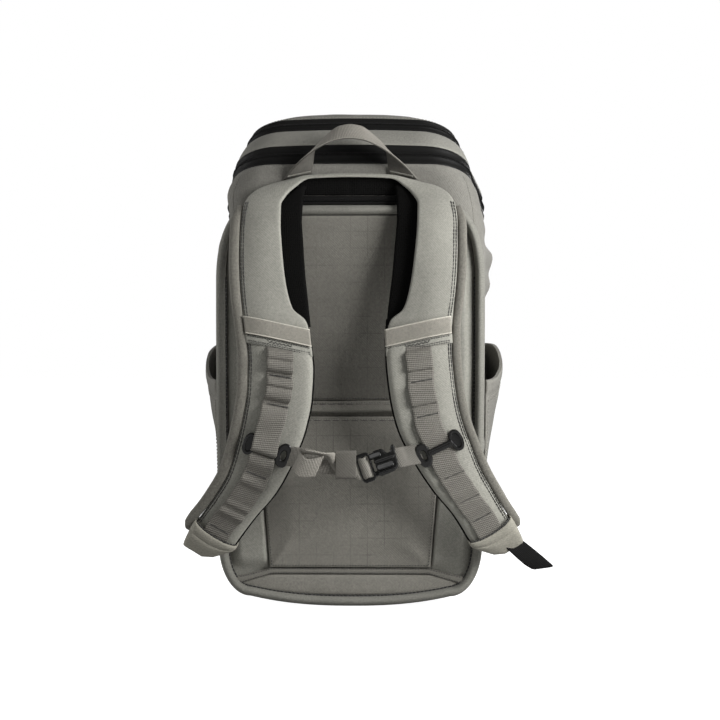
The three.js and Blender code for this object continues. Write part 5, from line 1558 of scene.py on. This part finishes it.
def side_wall(side, y, z):
    """Distance of the side wall from the middle."""
    table = np.array(SECTIONS, float)
    row = lookup(z, table[:, 0], table)
    half_back, half_front, back, front, back_corner, front_corner = (row[..., k] for k in range(2, 8))
    start, stop = back + back_corner, front - front_corner

    def rounded(half, radius, past):
        return half - radius + np.sqrt(np.maximum(0, radius**2 - past**2))

    straight = half_back + (half_front - half_back) * (y - start) / (stop - start)
    wall = np.where(y < start, rounded(half_back, back_corner, start - y), straight)
    wall = np.where(y > stop, rounded(half_front, front_corner, y - stop), wall)
    return wall + fold_rise(side, y, z)


def side_pocket(side, name):
    """Bottle pocket: a sheet sewn to the side wall, standing open at its sloping hemmed mouth."""
    p = POCKET
    columns, rows = 56, 70
    share, up = np.meshgrid(np.linspace(0, 1, columns), np.linspace(0, 1, rows))
    y = mix(p.y_back, p.y_front, share)
    z = mix(p.low, mix(p.mouth_back, p.mouth_front, smooth(share)), up)
    opened = smooth((z - p.open_from) / (p.open_full - p.open_from))
    x = side_wall(side, y, z) + 1.2 + p.open * np.sin(math.pi * share) ** 0.7 * opened
    base = xyz(side * x, y, z)
    free = np.sin(math.pi * share) ** 0.5 * smooth((up - 0.03) / 0.2)
    x = x + free * (1.3 * grain(base, 0.02, 4.0) + 0.5 * grain(base, (0.05, 0.05, 0.04), 6.0) + 0.8)
    roll = np.sin(math.pi * np.clip((up - p.hem_from) / (1 - p.hem_from), 0, 1))
    thick = POCKET_WALL + smooth((up - p.hem_from) / 0.012) + 0.6 * roll
    inner, outer = xyz(side * x, y, z), xyz(side * (x + thick), y, z)
    rings = np.concatenate([inner, outer[:, ::-1]], axis=1)
    pocket = loft("pocket_cloth_" + name, rings, BODY, ["side_pocket_" + name], strip_caps=True)
    out = np.array([side, 0.0, 0.0])
    seam = int(0.92 * (rows - 1))
    grey_thread.line(outer[seam] + out * 0.1, out)
    grey_thread.line(outer[seam - 1] + out * 0.1 - (0, 0, 1.0), out)
    for column in (1, columns - 2):
        grey_thread.line(outer[2:seam, column] + out * 0.2, out)


# Sternum strap

STERNUM_Y = -166.0
KEEPER_AT = (-1.0, 144.2)
FRAME_AT = np.array([18.4, STERNUM_Y, 141.5])
BUCKLE_TURN = 0.33
BUCKLE_RIGHT = np.array([math.cos(BUCKLE_TURN), 0, math.sin(BUCKLE_TURN)])
BUCKLE_UP = np.array([-math.sin(BUCKLE_TURN), 0, math.cos(BUCKLE_TURN)])
BUCKLE = Sizes(frame_wide=14.0, body_wide=22.0, tall=26.0, apart=20.6)
SLIDER_REACH = 20.0
PLY = 1.3  # how far each of two webs lies from the middle of the strap
# Slack of the sternum strap, from the keeper to the left, round its fold and back in front:
# middle, half width
SLACK = [
    ((-13, STERNUM_Y - 3, 148), (0.2, -4, 8.4)),
    ((-20, STERNUM_Y - 8, 153.4), (0.5, -8.8, 2.6)),
    ((-30, STERNUM_Y - 10, 156), (0.6, -9.4, 1.6)),
    ((-39, STERNUM_Y - 10.4, 157), (1.4, -8.6, 1.8)),
    ((-44.6, STERNUM_Y - 10.4, 155), (2.4, -5.4, 5)),
    ((-47.8, STERNUM_Y - 10.4, 150), (3.4, -2.4, 8.6)),
    ((-46.4, STERNUM_Y - 11.6, 145.6), (3.8, -2, 9)),
    ((-41, STERNUM_Y - 12.6, 141.4), (3.8, -2, 8.8)),
    ((-34, STERNUM_Y - 12.8, 141.8), (4, -1.6, 9.4)),
    ((-26, STERNUM_Y - 12, 143.6), (4.4, -1.2, 10)),
]


def sternum_webs(left, right):
    start, end = left.at(SLIDER_AT), right.at(SLIDER_AT)

    def at_slider(spot):
        return spot.mid + spot.across * SLIDER_REACH + spot.out * (STRAP_FRONT + 2.4)

    at_frame = FRAME_AT - BUCKLE_RIGHT * (BUCKLE.frame_wide / 2 + 1.4)
    at_body = FRAME_AT + BUCKLE_RIGHT * (BUCKLE.apart + BUCKLE.body_wide / 2 - 4)
    stop = at_slider(end)
    left_web = web_between([
        (at_slider(start), -start.along),
        ((-38, STERNUM_Y + 6, 149.5), (0.12, 0, 1)),
        ((-22, STERNUM_Y + 3, 145.5), UP),
        ((-9, STERNUM_Y + PLY, KEEPER_AT[1]), UP),
        ((2, STERNUM_Y + PLY, KEEPER_AT[1]), (-0.03, 0, 1)),
        (at_frame + (0, PLY, 0), BUCKLE_UP),
    ], STERNUM_WEB)
    half = STERNUM_WEB / 2
    slack = web_through([
        (at_frame - (0, PLY, 0), BUCKLE_UP * half),
        ((2, STERNUM_Y - PLY, KEEPER_AT[1]), (0, 0, half)),
        ((-9, STERNUM_Y - PLY, KEEPER_AT[1]), (0, 0, half)),
    ] + SLACK, 1.2)
    right_web = web_between([
        (at_body, BUCKLE_UP),
        (mix(at_body, stop, 0.17) - (0, 3.6, 0), BUCKLE_UP),
        (mix(at_body, stop, 0.34) - (0, 3.2, 0), BUCKLE_UP * 1.6 - end.along),
        (mix(at_body, stop, 0.5) + (0, 0.6, 0), BUCKLE_UP * 1.4 - end.along + (0, 0.5, 0)),
        (stop, -end.along),
    ], STERNUM_WEB)
    for name, web, material, node in (
        ("left", left_web, WEBBING, "sternum_web_left"),
        # The slack takes the lighter webbing copy: painted light on its front face.
        ("slack", slack, PAINTED_LIGHT_WEB, "sternum_slack"),
        # The right web takes the darker webbing copy: painted shade.
        ("right", right_web, PAINTED_SHADE_STERNUM_WEB, "sternum_web_right"),
    ):
        loft("sternum_webbing_" + name, web_rings(web, WEB_THICK), material, [node])
    place = Place((KEEPER_AT[0], STERNUM_Y, KEEPER_AT[1]), (0, 1, 0), (0, 0, 1), (1, 0, 0))
    loop = hoop(rounded_box(9.4, 27.6, 3.2), rounded_box(6.4, 24.6, 2), -10, 10, 0.6, place)
    sharpen(join("keeper_loop", [loop], KEEPER, ["sternum_keeper"]), 60)


# Ribs on the buckle's body: right and up to the middle, length and radius
BUCKLE_RIBS = [(-0.8, 2.2, 17, 2.3), (-2.4, -10.0, 14, 1.9)]
# Sloping finger ridges on the buckle's body: right and up to the middle, length and height
BUCKLE_RIDGES = [(-8.4, 8.4, 12, 5.0), (-1.8, -4.0, 17, 5.6)]
RIDGE_FACING = np.array([-0.151, -0.884, 0.442])
# Web round the frame's bar: right and out
BUCKLE_WRAP = [(-6.4, 0.6), (-4.6, 2.4), (-2.0, 3.9), (0.6, 4.2), (2.6, 3.0), (3.4, 0.8), (3.0, -1.4)]


def capsule(start, end, radius, front, place, sides=28):
    """A round rib from start to end on a moulded face, as points and faces."""
    start, end = np.array(start, float), np.array(end, float)
    along = unit(end - start)
    side = np.array([-along[1], along[0]])
    rings = []
    for share in (-1, -0.9, -0.6, 0, 0.5, 1, 1.6, 1.9, 2):
        past = min(0, share) + max(0, share - 1)
        pinch = radius * math.sqrt(max(0.02, 1 - past**2))
        middle = mix(start, end, np.clip(share, 0, 1)) + along * radius * past
        flat = middle + side * pinch * np.cos(turns(sides))[:, None]
        rings.append(place.points(flat, front + pinch * np.sin(turns(sides))))
    return closed_tube(rings)


def buckle():
    out = np.array(TO_VIEWER, float)
    place = Place(FRAME_AT, BUCKLE_RIGHT, BUCKLE_UP, out)
    outer = rounded_box(BUCKLE.frame_wide, BUCKLE.tall + 3, 4.5)
    window = rounded_box(10.0, STERNUM_WEB + 1.6, 1.4)
    bar = rounded_box(2.8, STERNUM_WEB + 4, 1.2, 3) + (0.2, 0)
    stations = [(FRAME_AT + BUCKLE_RIGHT * r + out * o, BUCKLE_UP) for r, o in BUCKLE_WRAP]
    loft("sternum_webbing_wrap", web_rings(web_between(stations, STERNUM_WEB, 0.8), 1.3), WEBBING)
    parts = [hoop(outer, window, -3, 3, 1.0, place), plate(bar, -2.4, 2.6, 1.1, place)]
    moulding("buckle_frame_moulding", parts, ["buckle_frame"])
    body = Place(FRAME_AT + BUCKLE_RIGHT * BUCKLE.apart, BUCKLE_RIGHT, BUCKLE_UP, out)
    x, z = BUCKLE.body_wide / 2, BUCKLE.tall / 2
    outline = resampled([
        (-x, -z + 2), (-x + 2, -z), (x - 9, -z + 1), (x - 2, -z + 3), (x, -z + 8), (x + 0.5, z - 8),
        (x + 1.6, z - 1), (x, z + 0.6), (x - 2.4, z - 0.6), (x - 3.6, z - 5.6), (x - 8, z - 6.4),
        (x - 10.5, z - 1), (x - 12.5, z), (-x + 2, z), (-x, z - 2),
    ], 80)
    parts = [plate(outline, -4, 3.2, 1.8, body)]
    for right, up, wide, radius in BUCKLE_RIBS:
        parts.append(capsule((right - wide / 2, up), (right + wide / 2, up), radius, 2.6, body))
    ridge_up = unit(np.cross(RIDGE_FACING, BUCKLE_RIGHT))
    for right, up, wide, high in BUCKLE_RIDGES:
        middle = body.origin + BUCKLE_RIGHT * right + BUCKLE_UP * up + out * 4.2
        ridge = Place(middle, BUCKLE_RIGHT, ridge_up, RIDGE_FACING)
        parts.append(plate(rounded_box(wide, high, 2.0, 5), -3.0, 1.2, 0.7, ridge))
    prong = rounded_box(7, 5, 1.6, 4) + (-x - 1.2, 9)
    parts += [plate(prong * (1, sign), -2.6, 2.0, 1.0, body) for sign in (1, -1)]
    moulding("buckle_body_moulding", parts, ["buckle_body"])


def resampled(corners, count):
    """A closed outline through corners, softened and evenly spaced."""
    points = np.array(corners, float)
    for _ in range(3):
        ahead = np.roll(points, -1, axis=0)
        points = np.stack([points * 0.75 + ahead * 0.25, points * 0.25 + ahead * 0.75], axis=1).reshape(-1, 2)
    closed = np.concatenate([points, points[:1]])
    reach = run(closed)
    return lookup(np.linspace(0, reach[-1], count, endpoint=False), reach, closed)


# Assembly

pack_body()
lid()
rim_and_panel()
back_pads()
hem_band()
tape_and_lens()
rear_pocket()
shoulder_yoke()
strips = {}
for name, side in SIDES.items():
    strip = strips[name] = strap_strip(side)
    lining(side, name)
    lower_strap(strip, name)
    binding(side, strip, name)
    cross_band(strip, name)
    ladder(side, strip, name)
    slider(side, strip, name)
    end_cap(strip, name)
    anchor_web(side, strip, name)
    side_pocket(side, name)
adjuster_tail()
grab_handle()
sternum_webs(strips["left"], strips["right"])
buckle()
join("zip_coils", coil_parts, ZIP)
join("stitches_grey", grey_thread.parts, THREAD)
join("stitches_dark_and_painted_shade", dark_stitches_and_shade.parts, DARK_THREAD_AND_SHADE)


# Studio

CAMERA_AZIMUTH = math.radians(2.2)
CAMERA_DISTANCE = 2.6
CAMERA_TARGET = Vector((0.0063, 0, 0.246))
CAMERA_LENS = 125.4


def camera():
    data = bpy.data.cameras.new("camera")
    data.sensor_width = 36
    data.lens = CAMERA_LENS
    made = bpy.data.objects.new("camera", data)
    away = Vector((math.sin(CAMERA_AZIMUTH), -math.cos(CAMERA_AZIMUTH), 0)) * CAMERA_DISTANCE
    made.location = CAMERA_TARGET + away
    made.rotation_euler = (-away).to_track_quat("-Z", "Y").to_euler()
    bpy.context.collection.objects.link(made)
    bpy.context.scene.camera = made


# Area lights: name, power, place, aim, size
LIGHTS = [
    ("key", 20.0, (0.85, -0.6, 0.56), (0, -0.1, 0.25), 0.6),
    ("left", 3.8, (-0.95, 0.1, 0.5), (0, 0, 0.25), 0.6),
    ("left_front", 1.9, (-0.85, -0.75, 0.3), (0, 0, 0.2), 0.9),
    ("front", 1.6, (-0.5, -1.15, 1.4), (0, -0.1, 0.2), 0.5),
    ("top", 3.0, (0.2, 0.6, 1.6), (0, 0, 0.3), 1.2),
    ("back", 16.0, (0.5, 1.7, 0.8), (0, 0, 0.25), 1.0),
]
AMBIENT = 0.12
FLOOR_REACH = 30.0
FLOOR_GREY = (0.42, 0.42, 0.42)


def light(name, energy, place, aim, size):
    data = bpy.data.lights.new(name, "AREA")
    data.energy, data.size = energy, size
    made = bpy.data.objects.new(name, data)
    made.location = place
    made.rotation_euler = (Vector(aim) - Vector(place)).to_track_quat("-Z", "Y").to_euler()
    made.visible_camera = False
    bpy.context.collection.objects.link(made)


def studio_floor():
    """White floor as the camera sees it; it sends back less light to the pack."""
    corners = [(x * FLOOR_REACH, y * FLOOR_REACH, 0) for x, y in ((-1, -1), (1, -1), (1, 1), (-1, 1))]
    mesh = bpy.data.meshes.new("floor")
    mesh.from_pydata(corners, [], [(0, 1, 2, 3)])
    floor = bpy.data.objects.new("floor", mesh)
    bpy.context.collection.objects.link(floor)
    paint = Shader("floor_paint")
    mottle = paint.noise(3.0)
    away = paint.node("ShaderNodeVectorMath", {0: paint.place["Object"]}, operation="LENGTH").outputs["Value"]
    glow = paint.between(away, 0.3, 1.2, 0.99, 1.0)
    direct = paint.node("ShaderNodeLightPath").outputs["Is Camera Ray"]
    mesh.materials.append(paint.finish(
        Base_Color=paint.tinted(FLOOR_GREY, mottle, 0.99, 1.01), Roughness=0.9, Specular_IOR_Level=0.0,
        Emission_Color=(1, 1, 1, 1), Emission_Strength=paint.math("MULTIPLY", glow, direct),
    ))


def studio():
    studio_floor()
    world = bpy.data.worlds.new("studio")
    bpy.context.scene.world = world
    world.use_nodes = True
    nodes, links = world.node_tree.nodes, world.node_tree.links
    choose = nodes.new("ShaderNodeMixShader")
    links.new(nodes.new("ShaderNodeLightPath").outputs["Is Camera Ray"], choose.inputs[0])
    surfaces = ((1, nodes["Background"], AMBIENT), (2, nodes.new("ShaderNodeBackground"), 1.0))
    for number, surface, strength in surfaces:
        surface.inputs["Color"].default_value = (1, 1, 1, 1)
        surface.inputs["Strength"].default_value = strength
        links.new(surface.outputs[0], choose.inputs[number])
    links.new(choose.outputs[0], nodes["World Output"].inputs[0])
    for row in LIGHTS:
        light(*row)
    view = bpy.context.scene.view_settings
    view.view_transform = "Standard"
    view.look = "None"


camera()
studio()
